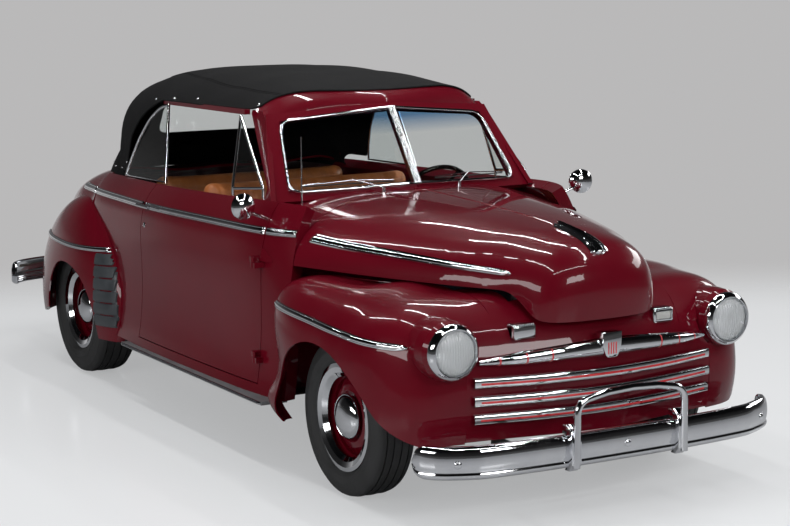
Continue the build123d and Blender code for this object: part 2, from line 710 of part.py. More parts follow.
def front_axle():
    """Dropped beam with its kingpins and its crosswise leaf spring."""
    x, z = FRONT_AXLE_X, FRONT_TYRE_R
    outline = [(-KINGPIN_HALF, z - 28), (-545, z - 28), (-480, z - 50), (480, z - 50), (545, z - 28),
               (KINGPIN_HALF, z - 28), (KINGPIN_HALF, z + 28), (545, z + 28), (470, z - 8), (-470, z - 8),
               (-545, z + 28), (-KINGPIN_HALF, z + 28)]
    beam = extrude(make_face(Polyline(*[(x, a, b) for a, b in outline], close=True)), amount=24, both=True, dir=(1, 0, 0))
    for side in (1, -1):
        beam += Pos(x, side * KINGPIN_HALF, z) * Cylinder(30, 60)
        beam += Pos(x, side * KINGPIN_HALF, z) * Cylinder(PIN_R, 112)
        beam += box(x + 20, x + 75, side * 470 - 20, side * 470 + 20, z - 40, z - 10)
    return beam + leaf_spring(x + 62, 490, z - 35, z - 6.3)


def knuckle():
    """Left steering knuckle: two lugs on the kingpin, the spindle outboard and the steering arm behind."""
    x, y, z = FRONT_AXLE_X, KINGPIN_HALF, FRONT_TYRE_R
    body = box(x - 26, x + 26, y + 31, y + 50, z - 56, z + 56)
    for lug in (z + 43.2, z - 43.2):
        body += Pos(x, y, lug) * Cylinder(28, 25.6) + box(x - 26, x + 26, y, y + 50, lug - 12.8, lug + 12.8)
    body -= Pos(x, y, z) * Cylinder(31, 60.8)
    body += rod((x, y + 45, z), (x, FRONT_TRACK_HALF + 42, z), SPINDLE_R)
    body += box(x - ARM_BACK, x, y - 12, y + 12, z - 56, z - 36) + Pos(x - ARM_BACK, y, z - 46) * Cylinder(18, 20)
    body += Pos(x - ARM_BACK, y, z - 22) * Cylinder(9, 30)
    return body - Pos(x, y, z) * Cylinder(PIN_R + FIT, 130)


def tie_rod():
    x, z = FRONT_AXLE_X - ARM_BACK, FRONT_TYRE_R - 25
    bar = rod((x, -KINGPIN_HALF, z), (x, KINGPIN_HALF, z), 11)
    for side in (1, -1):
        bar += Pos(x, side * KINGPIN_HALF, z) * Cylinder(20, 21)
    for side in (1, -1):
        bar -= Pos(x, side * KINGPIN_HALF, z) * Cylinder(9 + FIT, 60)
    return bar


def rear_axle():
    """Axle housing with its differential, torque tube and crosswise leaf spring."""
    x, z = REAR_AXLE_X, REAR_TYRE_R
    housing = rod((x, -REAR_TRACK_HALF + 40, z), (x, REAR_TRACK_HALF - 40, z), 42)
    housing += rod((x, -REAR_TRACK_HALF - 42, z), (x, REAR_TRACK_HALF + 42, z), SPINDLE_R)
    housing += Pos(x, 0, z) * Sphere(112)
    housing += rod((x, 0, z), (617.8, 0, 306), 32)
    for side in (1, -1):
        housing += box(x - 95, x, side * 520 - 20, side * 520 + 20, z + 10, z + 38)
    return housing + leaf_spring(x - 70, 540, z + 22, z + 84)


# ---------------------------------------------------------------- wheels
def turned(outline, x, y, z):
    """An (offset outboard, radius) closed outline turned about the axle."""
    face = make_face(Polyline(*[(0, a, r) for a, r in outline], close=True))
    return revolve(face, axis=Axis.Y).moved(Location((x, y, z)))


def tyre(x, y, z, radius, width):
    half = width / 2
    flange = rim_edge(width)
    side = [(flange - 7, RIM_R - 2), (flange - 4, RIM_R + 20), (half * 0.97, RIM_R + 42), (half, RIM_R + 64),
            (half * 0.93, radius - 26), (half * 0.74, radius - 6), (half * 0.36, radius - 1)]
    profile = [(-a, r) for a, r in side] + [(0, radius)] + [(a, r) for a, r in reversed(side)]
    section = make_face(sheet_section(profile, lambda a, r: (0, a, r), 14).edges())
    shape = revolve(section, axis=Axis.Y)
    seat_r = RIM_R + 23.6
    for sign in (1, -1):
        gap = [(sign * (flange - 5.4), 0), (sign * (flange - 5.4), seat_r), (sign * 300, seat_r), (sign * 300, 0)]
        shape -= turned(gap, 0, 0, 0)
    shape -= turned([(-300, 0), (-300, RIM_R + FIT), (300, RIM_R + FIT), (300, 0)], 0, 0, 0)
    return shape.moved(Location((x, y, z)))


def rim_edge(width):
    """Outer face of the rim's flange from the wheel's middle."""
    return width * 0.40


def wheel(x, y, z, width):
    """Left wheel: drop-centre rim and dished disc round the spindle."""
    e = rim_edge(width)
    rim = [(-e + 0.4, RIM_R + 22), (-e + 5, RIM_R + 22), (-e + 5, RIM_R), (-35, RIM_R - 4), (-28, RIM_R - 30),
           (20, RIM_R - 30), (30, RIM_R - 4), (e - 5, RIM_R), (e - 5, RIM_R + 22), (e - 0.4, RIM_R + 22),
           (e - 0.4, RIM_R - 5), (34, RIM_R - 10), (24, RIM_R - 36), (-32, RIM_R - 36), (-40, RIM_R - 10), (-e + 0.4, RIM_R - 5)]
    disc_outline = [(-14, 20.4), (46, 20.4), (46, 56), (30, 60), (26, 84), (40, 108), (34, 130), (10, 166), (4, 166),
                    (28, 126), (34, 106), (19, 82), (-14, 56)]
    return turned(rim, x, y, z) + turned(disc_outline, x, y, z)


def wheel_cover(x, y, z, width):
    """Left trim ring over the rim's edge and the domed hub cap, both chrome."""
    e = rim_edge(width)
    ring = [(e - 0.1, RIM_R + 23), (e + 3, RIM_R + 23), (e + 5, RIM_R + 6), (e - 3, RIM_R - 16), (e - 22, RIM_R - 34),
            (e - 24, RIM_R - 32), (e - 6, RIM_R - 10), (e - 0.1, RIM_R - 6)]
    cap = make_face([*Polyline((0, 46.4, 96), (0, 46.4, 0), (0, 88, 0)).edges(),
                     *Spline((0, 88, 0), (0, 86, 35), (0, 76, 70), (0, 56, 94), (0, 46.4, 96)).edges()])
    return turned(ring, x, y, z) + revolve(cap, axis=Axis.Y).moved(Location((x, y, z)))


# ---------------------------------------------------------------- front trim
def curved_bar(points, height, depth):
    """A bar of upright rounded section along a level curve."""
    path = Spline(*points)
    return sweep(Plane(origin=path @ 0, x_dir=(0, 0, 1), z_dir=path % 0) * RectangleRounded(height, depth, depth * 0.35), path=path)


def grille_bars():
    bars = []
    for x_end, y_end, z, x_mid in ((2229, 540, 640, 2325), (2233, 570, 560, 2323), (2235, 572, 488, 2319), (2231, 570, 417, 2313)):
        height = 62 if z > 600 else 40
        bars.append(curved_bar([(x_end, -y_end, z), (x_mid - 24, -y_end * 0.5, z), (x_mid, 0, z), (x_mid - 24, y_end * 0.5, z), (x_end, y_end, z)], height, 22))
    return group(*bars)


def seated_grille_bars():
    """The bars, hollowed behind where they lie on the panel."""
    return group(*[max((bar - grille_panel(0.5)).solids(), key=lambda solid: solid.volume) for bar in grille_bars().solids()])


FRONT_BLADE = [(2240, -905), (2390, -740), (2440, -420), (2452, 0), (2440, 420), (2390, 740), (2240, 905)]
REAR_BLADE = [(-1990, -905), (-2335, -770), (-2474, -420), (-2490, 0), (-2474, 420), (-2335, 770), (-1990, 905)]
BLADE_HEIGHT = 112.0
BLADE_DEPTH = 20.0


def blade(points, z, grow):
    return curved_bar([(x, y, z) for x, y in points], BLADE_HEIGHT + 2 * grow, BLADE_DEPTH + 2 * grow)


def front_bumper(grow=0.0):
    return blade(FRONT_BLADE, 243, grow)


def rear_bumper(grow=0.0):
    return blade(REAR_BLADE, 405, grow)


def bumper_guard():
    """Tubular hoop with an upright guard at each foot."""
    hoop = tube([(2482, -252, 190), (2482, -226, 503), (2482, 226, 503), (2482, 252, 190)], 18, 45)
    for side in (1, -1):
        hoop += box(2450, 2500, side * 275 - 30, side * 275 + 30, 165, 380)
    return hoop - front_bumper(FIT)


def headlights():
    body = [(-130, 0), (-130, 40), (-100, 85), (-30, 101), (-13.5, 101), (-13.5, LAMP_R + 4), (0, LAMP_R), (14, 96), (16, 90), (28, 60), (34, 0)]
    return both_sides(revolved(body, HEADLIGHT))


def parking_lights(grow=0.0):
    lamp = Plane(origin=(2160, 338, 739), x_dir=(0, 1, 0), z_dir=(1, 0, 0)) * RectangleRounded(
        103 + 2 * grow, 60 + 2 * grow, 18)
    return both_sides(extrude(lamp, amount=84))


def tail_lights():
    return tail_lamp_bodies(0)


# ---------------------------------------------------------------- cabin
def front_seat():
    base = box(-60, 380, -560, 560, 340, 420) - Pos(110, 0, BODY_FLOOR_Z) * Rot(0, 90, 0) * Cylinder(TUNNEL_R + 8, 1800)
    cushion = box(-80, 420, -600, 600, 420.3, 600)
    back = Pos(-170, 0, 822) * Rot(0, -12, 0) * Box(150, 1200, 470)
    return group(base + box(-20, 340, -540, -480, 304.3, 345) + box(-20, 340, 480, 540, 304.3, 345), cushion, back - cushion)


def rear_seat():
    cushion = box(-789.6, -440, -590, 590, BODY_FLOOR_Z + 4.4, 640)
    cushion -= Pos(110, 0, BODY_FLOOR_Z) * Rot(0, 90, 0) * Cylinder(TUNNEL_R + 8, 1801)
    return group(cushion, box(-930, -790, -580, 580, 620.4, 1040))


def dashboard():
    outline = [(689.6, 0, 1118), (640, 0, 1112), (604, 0, 1070), (600, 0, 960), (618, 0, 905), (650, 0, 900), (650, 0, 960),
               (689.6, 0, 1040)]
    return extrude(make_face(Polyline(*outline, close=True)), amount=646, both=True, dir=(0, 1, 0))


WHEEL_HUB = (392.0, 370.0, 992.0)
COLUMN_FOOT = (1120.0, 370.0, 560.0)
COLUMN_R = 22.0


def column_plane():
    return Plane(origin=WHEEL_HUB, z_dir=Vector(*WHEEL_HUB) - Vector(*COLUMN_FOOT))


def steering_column():
    plane = column_plane()
    length = (Vector(*WHEEL_HUB) - Vector(*COLUMN_FOOT)).length
    column = extrude(plane * Circle(COLUMN_R), amount=-length)
    return column + box(1090, 1180, 330, 399.7, 470, 590)


def steering_wheel():
    plane = column_plane()
    wheel = plane * Pos(0, 0, 28) * Torus(212, 11)
    for angle in (90, 210, 330):
        wheel += plane * Pos(0, 0, 28) * Rot(0, 0, angle) * Pos(106, 0, 0) * Box(212, 14, 8)
    return wheel + plane * Pos(0, 0, 20.4) * Cylinder(38, 40)


def vent_corners(y_shift=0.0):
    return [(361, 640 + y_shift, 1474), (700, 700 + y_shift, 1176), (418, 716 + y_shift, 1150)]


def vent_frame():
    """Chrome frame of the front quarter pane, standing on the door."""
    top, front, rear = vent_corners()
    frame = rod(top, front, 7) + rod(front, rear, 7) + rod(rear, top, 7)
    for point in (top, front, rear):
        frame += Pos(*point) * Sphere(7)
    return frame + rod(front, (700, 700, 1120), 7) + rod(rear, (418, 716, 1100), 7)


def vent_glass():
    corners = [Vector(*p) for p in vent_corners()]
    centre = (corners[0] + corners[1] + corners[2]) / 3
    inner = [centre + (p - centre) * 0.895 for p in corners]
    return Solid.extrude(make_face(Polyline(*inner, close=True)).face(), Vector(0, 3, 0))


def door_fittings(panel):
    """Chrome on a left door: vent pane frame, handle, and the mirror on its arm."""
    handle = rod((-380, 800, 1000), (-380, 846, 1000), 8) + rod((-250, 852, 1000), (-392, 852, 1000), 10)
    arm = rod((865, 730, 1050), (892, 888, 1110), 7)
    head = Plane(origin=(895, 892, 1128), x_dir=(0, 1, 0), z_dir=(-1, 0.2, 0)) * Circle(56)
    mirror_head = extrude(head, amount=14)
    return [seat(vent_frame(), panel), seat(handle, panel), seat(arm + mirror_head, panel)]


def seat(piece, host):
    """The part of a piece that stands outside its host."""
    return max((piece - host).solids(), key=lambda solid: solid.volume)


# ---------------------------------------------------------------- main
def save_wheels():
    for end, x, y, r, width in (("front", FRONT_AXLE_X, FRONT_TRACK_HALF, FRONT_TYRE_R, FRONT_TYRE_W),
                                ("rear", REAR_AXLE_X, REAR_TRACK_HALF, REAR_TYRE_R, REAR_TYRE_W)):
        for name, shape in (("tyre", tyre(x, y, r, r, width)), ("wheel", wheel(x, y, r, width)),
                            ("wheel_cover", wheel_cover(x, y, r, width))):
            save(shape, f"{name}_{end}_left")
            save(mirror_y(shape), f"{name}_{end}_right")


def save_pair(shape, name):
    save(shape, f"{name}_left")
    save(mirror_y(shape), f"{name}_right")


def main():
    os.makedirs("parts", exist_ok=True)
    engine_cover = hood_sheet()
    save(hood(engine_cover), "hood")
    panel = cowl(engine_cover)
    save(panel, "cowl")
    save_pair(front_fender(), "front_fender")
    save_pair(rear_fender(), "rear_fender")
    left_door = door()
    save_pair(left_door, "door")
    save_pair(group(*door_fittings(left_door)), "door_fittings")
    save_pair(vent_glass(), "vent_glass")
    save(grille_panel(), "grille_panel")
    save(rear_body(), "rear_body")
    save(deck_lid(), "deck_lid")
    save(both_sides(quarter_and_cowl()), "body_sides")
    save(windshield_frame(), "windshield_frame")
    save(windshield_glass(), "windshield_glass")
    top = top_sheet()
    save(convertible_top(top), "convertible_top")
    save(top_rear_window(top), "rear_window")
    save(chassis_frame(), "chassis_frame")
    save(floor_pan(), "floor_pan")
    save(engine(), "engine")
    save(box(2020, 2085, -260, 260, 400.3, 850), "radiator")
    save(exhaust(), "exhaust")
    save(box(-2040, -1640, -240, 380, 450, 613.6), "fuel_tank")
    save(front_axle(), "front_axle")
    save_pair(knuckle(), "knuckle")
    save(tie_rod(), "tie_rod")
    save(rear_axle(), "rear_axle")
    save_wheels()
    save(seated_grille_bars(), "grille_bars")
    save(front_bumper(), "front_bumper")
    save(rear_bumper(), "rear_bumper")
    save(bumper_guard(), "bumper_guard")
    save(headlights(), "headlights")
    save(parking_lights(), "parking_lights")
    save(tail_lights(), "tail_lights")
    save(both_sides(box(-520, 1060, 780, 905, 284, 299.7)), "running_boards")
    save(front_seat(), "front_seat")
    save(rear_seat(), "rear_seat")
    save(dashboard(), "dashboard")
    save(steering_column(), "steering_column")
    save(steering_wheel(), "steering_wheel")


main()
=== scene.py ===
import math

import bpy
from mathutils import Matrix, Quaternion, Vector


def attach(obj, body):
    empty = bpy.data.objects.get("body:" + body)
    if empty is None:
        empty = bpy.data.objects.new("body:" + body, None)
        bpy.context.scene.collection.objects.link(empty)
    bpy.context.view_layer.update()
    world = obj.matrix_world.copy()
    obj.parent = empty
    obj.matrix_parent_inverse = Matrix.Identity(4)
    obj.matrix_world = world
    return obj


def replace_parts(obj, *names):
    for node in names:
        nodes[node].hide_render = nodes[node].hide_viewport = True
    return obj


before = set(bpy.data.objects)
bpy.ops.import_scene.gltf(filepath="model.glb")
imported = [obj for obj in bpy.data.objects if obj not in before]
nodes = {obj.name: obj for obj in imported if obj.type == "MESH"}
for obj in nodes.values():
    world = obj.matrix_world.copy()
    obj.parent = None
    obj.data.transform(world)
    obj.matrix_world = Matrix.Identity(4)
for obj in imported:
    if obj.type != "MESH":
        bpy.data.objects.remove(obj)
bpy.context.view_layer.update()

# ---------------------------------------------------------------- chassis and running gear
# A riveted ladder frame, forged axles and leaf springs, all brushed with black chassis enamel.
# The engine block is painted iron, and the exhaust is bare steel dulled by heat. Both hang on the frame.


def add_node(tree, kind, sockets=None, **settings):
    """A shader node with its settings. Each named socket gets a value, or a link from another node's output."""
    made = tree.nodes.new("ShaderNode" + kind)
    for setting, value in settings.items():
        setattr(made, setting, value)
    for socket, value in (sockets or {}).items():
        if isinstance(value, bpy.types.NodeSocket):
            tree.links.new(value, made.inputs[socket])
        else:
            made.inputs[socket].default_value = value
    return made


def shader_group(name, inputs, outputs):
    """An empty node group with named sockets, and the nodes where it is entered and left."""
    group = bpy.data.node_groups.new(name, "ShaderNodeTree")
    for socket, kind, value in inputs:
        made = group.interface.new_socket(socket, in_out="INPUT", socket_type="NodeSocket" + kind)
        made.default_value = value
    for socket, kind in outputs:
        group.interface.new_socket(socket, in_out="OUTPUT", socket_type="NodeSocket" + kind)
    return group, group.nodes.new("NodeGroupInput"), group.nodes.new("NodeGroupOutput")


def build_mottle():
    """Slow drift of a colour and a roughness over a surface."""
    group, entry, leave = shader_group(
        "mottle", [("Scale", "Float", 3.0), ("Light", "Color", (1, 1, 1, 1)), ("Dark", "Color", (0, 0, 0, 1)),
                   ("Smooth", "Float", 0.2), ("Rough", "Float", 0.4)], [("Color", "Color"), ("Roughness", "Float")])
    place = add_node(group, "TexCoord")
    cloud = add_node(group, "TexNoise", {"Vector": place.outputs["Object"], "Scale": entry.outputs["Scale"],
                                         "Detail": 6, "Roughness": 0.6})
    spread = add_node(group, "MapRange", {"Value": cloud.outputs["Fac"], "From Min": 0.35, "From Max": 0.65})
    tint = add_node(group, "Mix", {"Factor": spread.outputs["Result"], "A": entry.outputs["Dark"],
                                   "B": entry.outputs["Light"]}, data_type="RGBA")
    gloss = add_node(group, "Mix", {"Factor": spread.outputs["Result"], "A": entry.outputs["Smooth"],
                                    "B": entry.outputs["Rough"]}, data_type="FLOAT")
    group.links.new(tint.outputs["Result"], leave.inputs["Color"])
    group.links.new(gloss.outputs["Result"], leave.inputs["Roughness"])
    return group


def build_grain():
    """Fine speckle all over a surface, as a height."""
    group, entry, leave = shader_group("grain", [("Scale", "Float", 200.0)], [("Height", "Float")])
    place = add_node(group, "TexCoord")
    speckle = add_node(group, "TexNoise", {"Vector": place.outputs["Object"], "Scale": entry.outputs["Scale"],
                                           "Detail": 4})
    group.links.new(speckle.outputs["Fac"], leave.inputs["Height"])
    return group


def build_ribs():
    """Straight ribs across a direction, as a height."""
    group, entry, leave = shader_group("ribs", [("Across", "Vector", (1, 0, 0)), ("Scale", "Float", 50.0)],
                                       [("Height", "Float")])
    place = add_node(group, "TexCoord")
    reach = add_node(group, "VectorMath", {0: place.outputs["Object"], 1: entry.outputs["Across"]},
                     operation="DOT_PRODUCT")
    line = add_node(group, "CombineXYZ", {"X": reach.outputs["Value"]})
    wave = add_node(group, "TexWave", {"Vector": line.outputs["Vector"], "Scale": entry.outputs["Scale"]},
                    bands_direction="X")
    group.links.new(wave.outputs["Fac"], leave.inputs["Height"])
    return group


mottle, grain_height, rib_height = build_mottle(), build_grain(), build_ribs()
band_spacing = 0.314  # metres from band to band of a wave texture at scale 1


def new_material(name, **sockets):
    """A material with its shader's sockets set by name, with _ for a space."""
    material = bpy.data.materials.new(name)
    material.use_nodes = True
    for socket, value in sockets.items():
        material.node_tree.nodes["Principled BSDF"].inputs[socket.replace("_", " ")].default_value = value
    return material


def bump_from(tree, height, depth):
    """Feeds a height into the material's normal."""
    bump = add_node(tree, "Bump", {"Strength": 0.7, "Distance": depth, "Height": height})
    tree.links.new(bump.outputs["Normal"], tree.nodes["Principled BSDF"].inputs["Normal"])


def finish(name, light, dark, smooth, rough, scale=3.0, grain=None, metallic=0.0, **sockets):
    """A material whose colour and roughness drift between two values, with an optional grain (scale, depth in m)."""
    material = new_material(name, Metallic=metallic, **sockets)
    tree = material.node_tree
    drift = add_node(tree, "Group", node_tree=mottle, sockets={
        "Scale": scale, "Light": (*light, 1), "Dark": (*dark, 1), "Smooth": smooth, "Rough": rough})
    tree.links.new(drift.outputs["Color"], tree.nodes["Principled BSDF"].inputs["Base Color"])
    tree.links.new(drift.outputs["Roughness"], tree.nodes["Principled BSDF"].inputs["Roughness"])
    if grain:
        speckle = add_node(tree, "Group", {"Scale": grain[0]}, node_tree=grain_height)
        bump_from(tree, speckle.outputs["Height"], grain[1])
    return material


def ribbed(material, across, pitch, depth):
    """Adds straight ribs to a material, at a pitch and depth in metres."""
    tree = material.node_tree
    ribs = add_node(tree, "Group", {"Across": across, "Scale": band_spacing / pitch}, node_tree=rib_height)
    bump_from(tree, ribs.outputs["Height"], depth)
    return material


def dress(names, material):
    """Gives CAD nodes a material."""
    for name in names:
        mesh = nodes[name].data
        mesh.materials.clear()
        mesh.materials.append(material)


black_enamel = finish("chassis_black", (0.030, 0.030, 0.030), (0.016, 0.016, 0.016), 0.38, 0.6, scale=8,
                      grain=(120, 0.0005))
dress(["chassis_frame", "front_axle", "rear_axle", "fuel_tank", "steering_column"], black_enamel)
oily_steel = finish("oily_steel", (0.30, 0.29, 0.28), (0.16, 0.15, 0.14), 0.32, 0.5, scale=22, metallic=1.0)
dress(["knuckle_left", "knuckle_right", "tie_rod"], oily_steel)
block_paint = finish("block_paint", (0.035, 0.045, 0.07), (0.02, 0.026, 0.04), 0.35, 0.55, scale=12,
                     grain=(60, 0.001))
dress(["engine"], block_paint)
fins = ribbed(finish("radiator_fins", (0.05, 0.05, 0.05), (0.03, 0.03, 0.03), 0.5, 0.6), (0, 0, 1), 0.006, 0.002)
dress(["radiator"], fins)
dull_pipe = finish("exhaust_steel", (0.33, 0.29, 0.25), (0.18, 0.15, 0.12), 0.35, 0.6, scale=9, metallic=1.0)
dress(["exhaust"], dull_pipe)

# ---------------------------------------------------------------- tyres
# Moulded black rubber on steel wheels: five tread ribs, cut shoulder blocks and ringed side walls.
# Their beads seat on the rims by air pressure. The rear pair is larger and wider than the front pair.
rubber = finish("tyre_rubber", (0.024, 0.024, 0.025), (0.015, 0.015, 0.015), 0.62, 0.8, scale=14, grain=(300, 0.0006))


def clear_selection():
    """Leaves edit mode with nothing selected."""
    if bpy.context.object and bpy.context.object.mode != "OBJECT":
        bpy.ops.object.mode_set(mode="OBJECT")
    bpy.ops.object.select_all(action="DESELECT")


def complete(name, body, material, angle=35):
    """Names the active piece, settles its place in its mesh, smooths it, and fixes it to a body."""
    piece = bpy.context.object
    piece.name = name
    bpy.ops.object.transform_apply(location=True, rotation=True, scale=True)
    piece.data.materials.clear()
    piece.data.materials.append(material)
    bpy.ops.object.shade_smooth_by_angle(angle=math.radians(angle))
    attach(piece, body)
    return piece


def draw_line(points, closed):
    """Draws straight runs through points by pulling one corner along."""
    clear_selection()
    bpy.ops.mesh.primitive_plane_add(size=0.01, location=points[0])
    bpy.ops.object.mode_set(mode="EDIT")
    bpy.ops.mesh.select_all(action="SELECT")
    bpy.ops.mesh.merge(type="CENTER")
    bpy.ops.object.mode_set(mode="OBJECT")
    bpy.ops.object.transform_apply(location=True, rotation=True, scale=True)
    bpy.ops.object.mode_set(mode="EDIT")
    bpy.ops.mesh.select_mode(type="VERT")
    bpy.ops.mesh.select_all(action="SELECT")
    route = list(points) + [points[0]] * closed
    for start, end in zip(route, route[1:]):
        bpy.ops.mesh.extrude_region_move(TRANSFORM_OT_translate={"value": Vector(end) - Vector(start)})
    bpy.ops.mesh.select_all(action="SELECT")
    bpy.ops.mesh.remove_doubles(threshold=0.00002)
    bpy.ops.mesh.select_all(action="DESELECT")
    bpy.ops.object.mode_set(mode="OBJECT")
    return bpy.context.object


def edit_all(*steps):
    """Runs edit mode operators, given with their settings, on the whole of the active piece."""
    bpy.ops.object.mode_set(mode="EDIT")
    for operator, settings in steps:
        bpy.ops.mesh.select_all(action="SELECT")
        operator(**settings)
    bpy.ops.object.mode_set(mode="OBJECT")


def softened(points, corners, bend):
    """The same line with its numbered corners rounded."""
    line = []
    for index, corner in enumerate(points):
        corner = Vector(corner)
        if index in corners:
            start, end = (corner + (Vector(points[near % len(points)]) - corner).normalized() * bend
                          for near in (index - 1, index + 1))
            line += [start.lerp(corner, k / 7).lerp(corner.lerp(end, k / 7), k / 7) for k in range(8)]
        else:
            line.append(corner)
    return line


def lathe(outline, centre, axis, steps, closed=True):
    """Turns an outline of (place along the axis, radius) into a round piece."""
    centre, along = Vector(centre), Vector(axis)
    out = Vector((1, 0, 0)) if abs(along.z) > 0.5 else Vector((0, 0, 1))
    turned = draw_line([centre + along * place + out * radius for place, radius in outline], closed)
    edit_all((bpy.ops.mesh.spin, {"steps": steps, "angle": math.tau, "center": centre, "axis": along}),
             (bpy.ops.mesh.remove_doubles, {"threshold": 0.00005}),
             (bpy.ops.mesh.normals_make_consistent, {"inside": False}))
    return turned


def make_tyre(node, side, x, y, radius, width):
    """A tyre turned from its section, with the blocks of its tread parted by cuts."""
    steps = 216  # round the tyre, a multiple of the blocks' spacing
    half, flange = width / 2, width * 0.40
    wall = [(flange - 0.006, 0.2005), (flange - 0.004, 0.222), (half * 0.955, 0.240), (half * 0.975, 0.246),
            (half * 0.975, 0.256), (half * 0.985, 0.258), (half * 0.985, 0.270), (half * 0.965, 0.273),
            (half * 0.925, radius - 0.026), (half * 0.80, radius - 0.010)]
    tread, groove = [], 0.0035
    for at in (half * 0.54, half * 0.19):
        tread += [(at + groove, radius - 0.003), (at + groove, radius - 0.009), (at - groove, radius - 0.009),
                  (at - groove, radius - 0.0015)]
    outer = wall + [(half * 0.72, radius - 0.006)] + tread + [(0, radius - 0.0005)]
    outline = outer + [(-a, r) for a, r in reversed(outer[:-1])]
    outline += [(-flange + 0.014, 0.206), (-half * 0.78, 0.262), (-half * 0.7, radius - 0.03),
                (half * 0.7, radius - 0.03), (half * 0.78, 0.262), (flange - 0.014, 0.206)]
    centre = (x, y * side, radius)
    tyre = lathe(outline, centre, (0, 1, 0), steps)
    for face in tyre.data.polygons:
        reach = face.center - Vector(centre)
        lateral, out = abs(reach.y), math.hypot(reach.x, reach.z)
        turn = int((math.atan2(reach.z, reach.x) + math.pi) / math.tau * steps + (1.5 if reach.y > 0 else 0.2))
        face.select = half * 0.56 < lateral < half * 0.9 and out > radius - 0.03 and turn % 4 == 0 or (
            half * 0.22 < lateral < half * 0.5 and out > radius - 0.005 and turn % 6 == 2)
    bpy.ops.object.mode_set(mode="EDIT")
    bpy.ops.mesh.select_mode(type="FACE")
    bpy.ops.mesh.extrude_region_shrink_fatten(TRANSFORM_OT_shrink_fatten={"value": -0.005})
    bpy.ops.object.mode_set(mode="OBJECT")
    piece = complete("rubber_" + node, "wheel_" + node[5:], rubber, 30)
    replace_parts(piece, node)


front_wheel = (1.600, 0.728, 0.330, 0.190)  # x, half track, radius, width
rear_wheel = (-1.296, 0.735, 0.355, 0.225)
for hand, side in (("left", 1), ("right", -1)):
    make_tyre("tyre_front_" + hand, side, *front_wheel)
    make_tyre("tyre_rear_" + hand, side, *rear_wheel)

# ---------------------------------------------------------------- painted body shell
# Pressed steel panels, sprayed deep maroon, rubbed flat and polished to a wet gloss.
# Fenders, cowl, hood, doors, lid and quarters are bolted or welded along their seams.
maroon = finish("maroon_paint", (0.100, 0.0013, 0.0070), (0.086, 0.0011, 0.0060), 0.30, 0.36, scale=1.2,
                Coat_Weight=1.0, Coat_Roughness=0.012, Coat_IOR=1.36, Specular_IOR_Level=0.06)
dress(["hood", "cowl", "front_fender_left", "front_fender_right", "rear_fender_left", "rear_fender_right",
       "door_left", "door_right", "body_sides", "rear_body", "deck_lid", "grille_panel", "windshield_frame",
       "dashboard", "wheel_front_left", "wheel_front_right", "wheel_rear_left", "wheel_rear_right"], maroon)

# ---------------------------------------------------------------- bright metal
# Bars, bumpers, guards, mirrors, frames and wheel covers are steel, copper and nickel plated under chrome.
# Each is polished before plating, and bolted or clipped on after the body is painted.
chrome = finish("bright_chrome", (0.80, 0.81, 0.83), (0.72, 0.73, 0.76), 0.04, 0.09, scale=6, metallic=1.0)
dress(["grille_bars", "front_bumper", "rear_bumper", "bumper_guard", "wheel_cover_front_left",
       "wheel_cover_front_right", "wheel_cover_rear_left", "wheel_cover_rear_right", "door_fittings_left",
       "door_fittings_right"], chrome)

# ---------------------------------------------------------------- glass
# Laminated panes bedded in rubber. The windshield has a blue shade band along its top.
# The rear window is sewn into the top, and the vent panes pivot in the doors.
clear_glass = new_material("clear_glass", Roughness=0.0, IOR=1.45, Transmission_Weight=1.0)
tree = clear_glass.node_tree
place = add_node(tree, "TexCoord")
apart = add_node(tree, "SeparateXYZ", {"Vector": place.outputs["Object"]})
band = add_node(tree, "MapRange", {"Value": apart.outputs["Z"], "From Min": 1.385, "From Max": 1.465})
forward = add_node(tree, "Math", {0: apart.outputs["X"], 1: 0.45}, operation="GREATER_THAN")
both = add_node(tree, "Math", {0: band.outputs["Result"], 1: forward.outputs["Value"]}, operation="MULTIPLY")
shade = add_node(tree, "Mix", {"Factor": both.outputs["Value"], "A": (0.93, 0.97, 0.96, 1),
                               "B": (0.16, 0.33, 0.55, 1)}, data_type="RGBA")
tree.links.new(shade.outputs["Result"], tree.nodes["Principled BSDF"].inputs["Base Color"])
dress(["windshield_glass", "rear_window", "vent_glass_left", "vent_glass_right"], clear_glass)


def rounded_rod(name, body, material, points, radius, corners=(), bend=0.02, closed=False, ends=True):
    """A round bar along straight runs, bent at the numbered corners."""
    draw_line(softened(points, corners, bend), closed)
    bpy.ops.object.convert(target="CURVE")
    rod = bpy.context.object
    rod.data.bevel_depth = radius
    rod.data.bevel_resolution = 4
    rod.data.use_fill_caps = ends
    bpy.ops.object.convert(target="MESH")
    return complete(name, body, material, 40)


# ---------------------------------------------------------------- windshield surround
# A pressed steel frame round each pane with wide pillars that stand on the cowl, all painted like the body.
# A slim rail on each side holds the cloth's edge over the door window.

# Corners of the right pane, and from them its foot line, its outward way and its upward way.
pane_low, pane_top = Vector((0.753, -0.598, 1.150)), Vector((0.538, -0.536, 1.451))
middle_low, middle_top = Vector((0.862, -0.012, 1.166)), Vector((0.622, -0.012, 1.500))
foot = (pane_low - middle_low).normalized()
pane_out = (pane_low - middle_low).cross(middle_top - middle_low).normalized()
pane_out *= math.copysign(1, pane_out.x)
rise = pane_out.cross(foot).normalized()
rise *= math.copysign(1, rise.z)


def flip(point):
    """The same place on the other side of the car."""
    return Vector((point.x, -point.y, point.z))


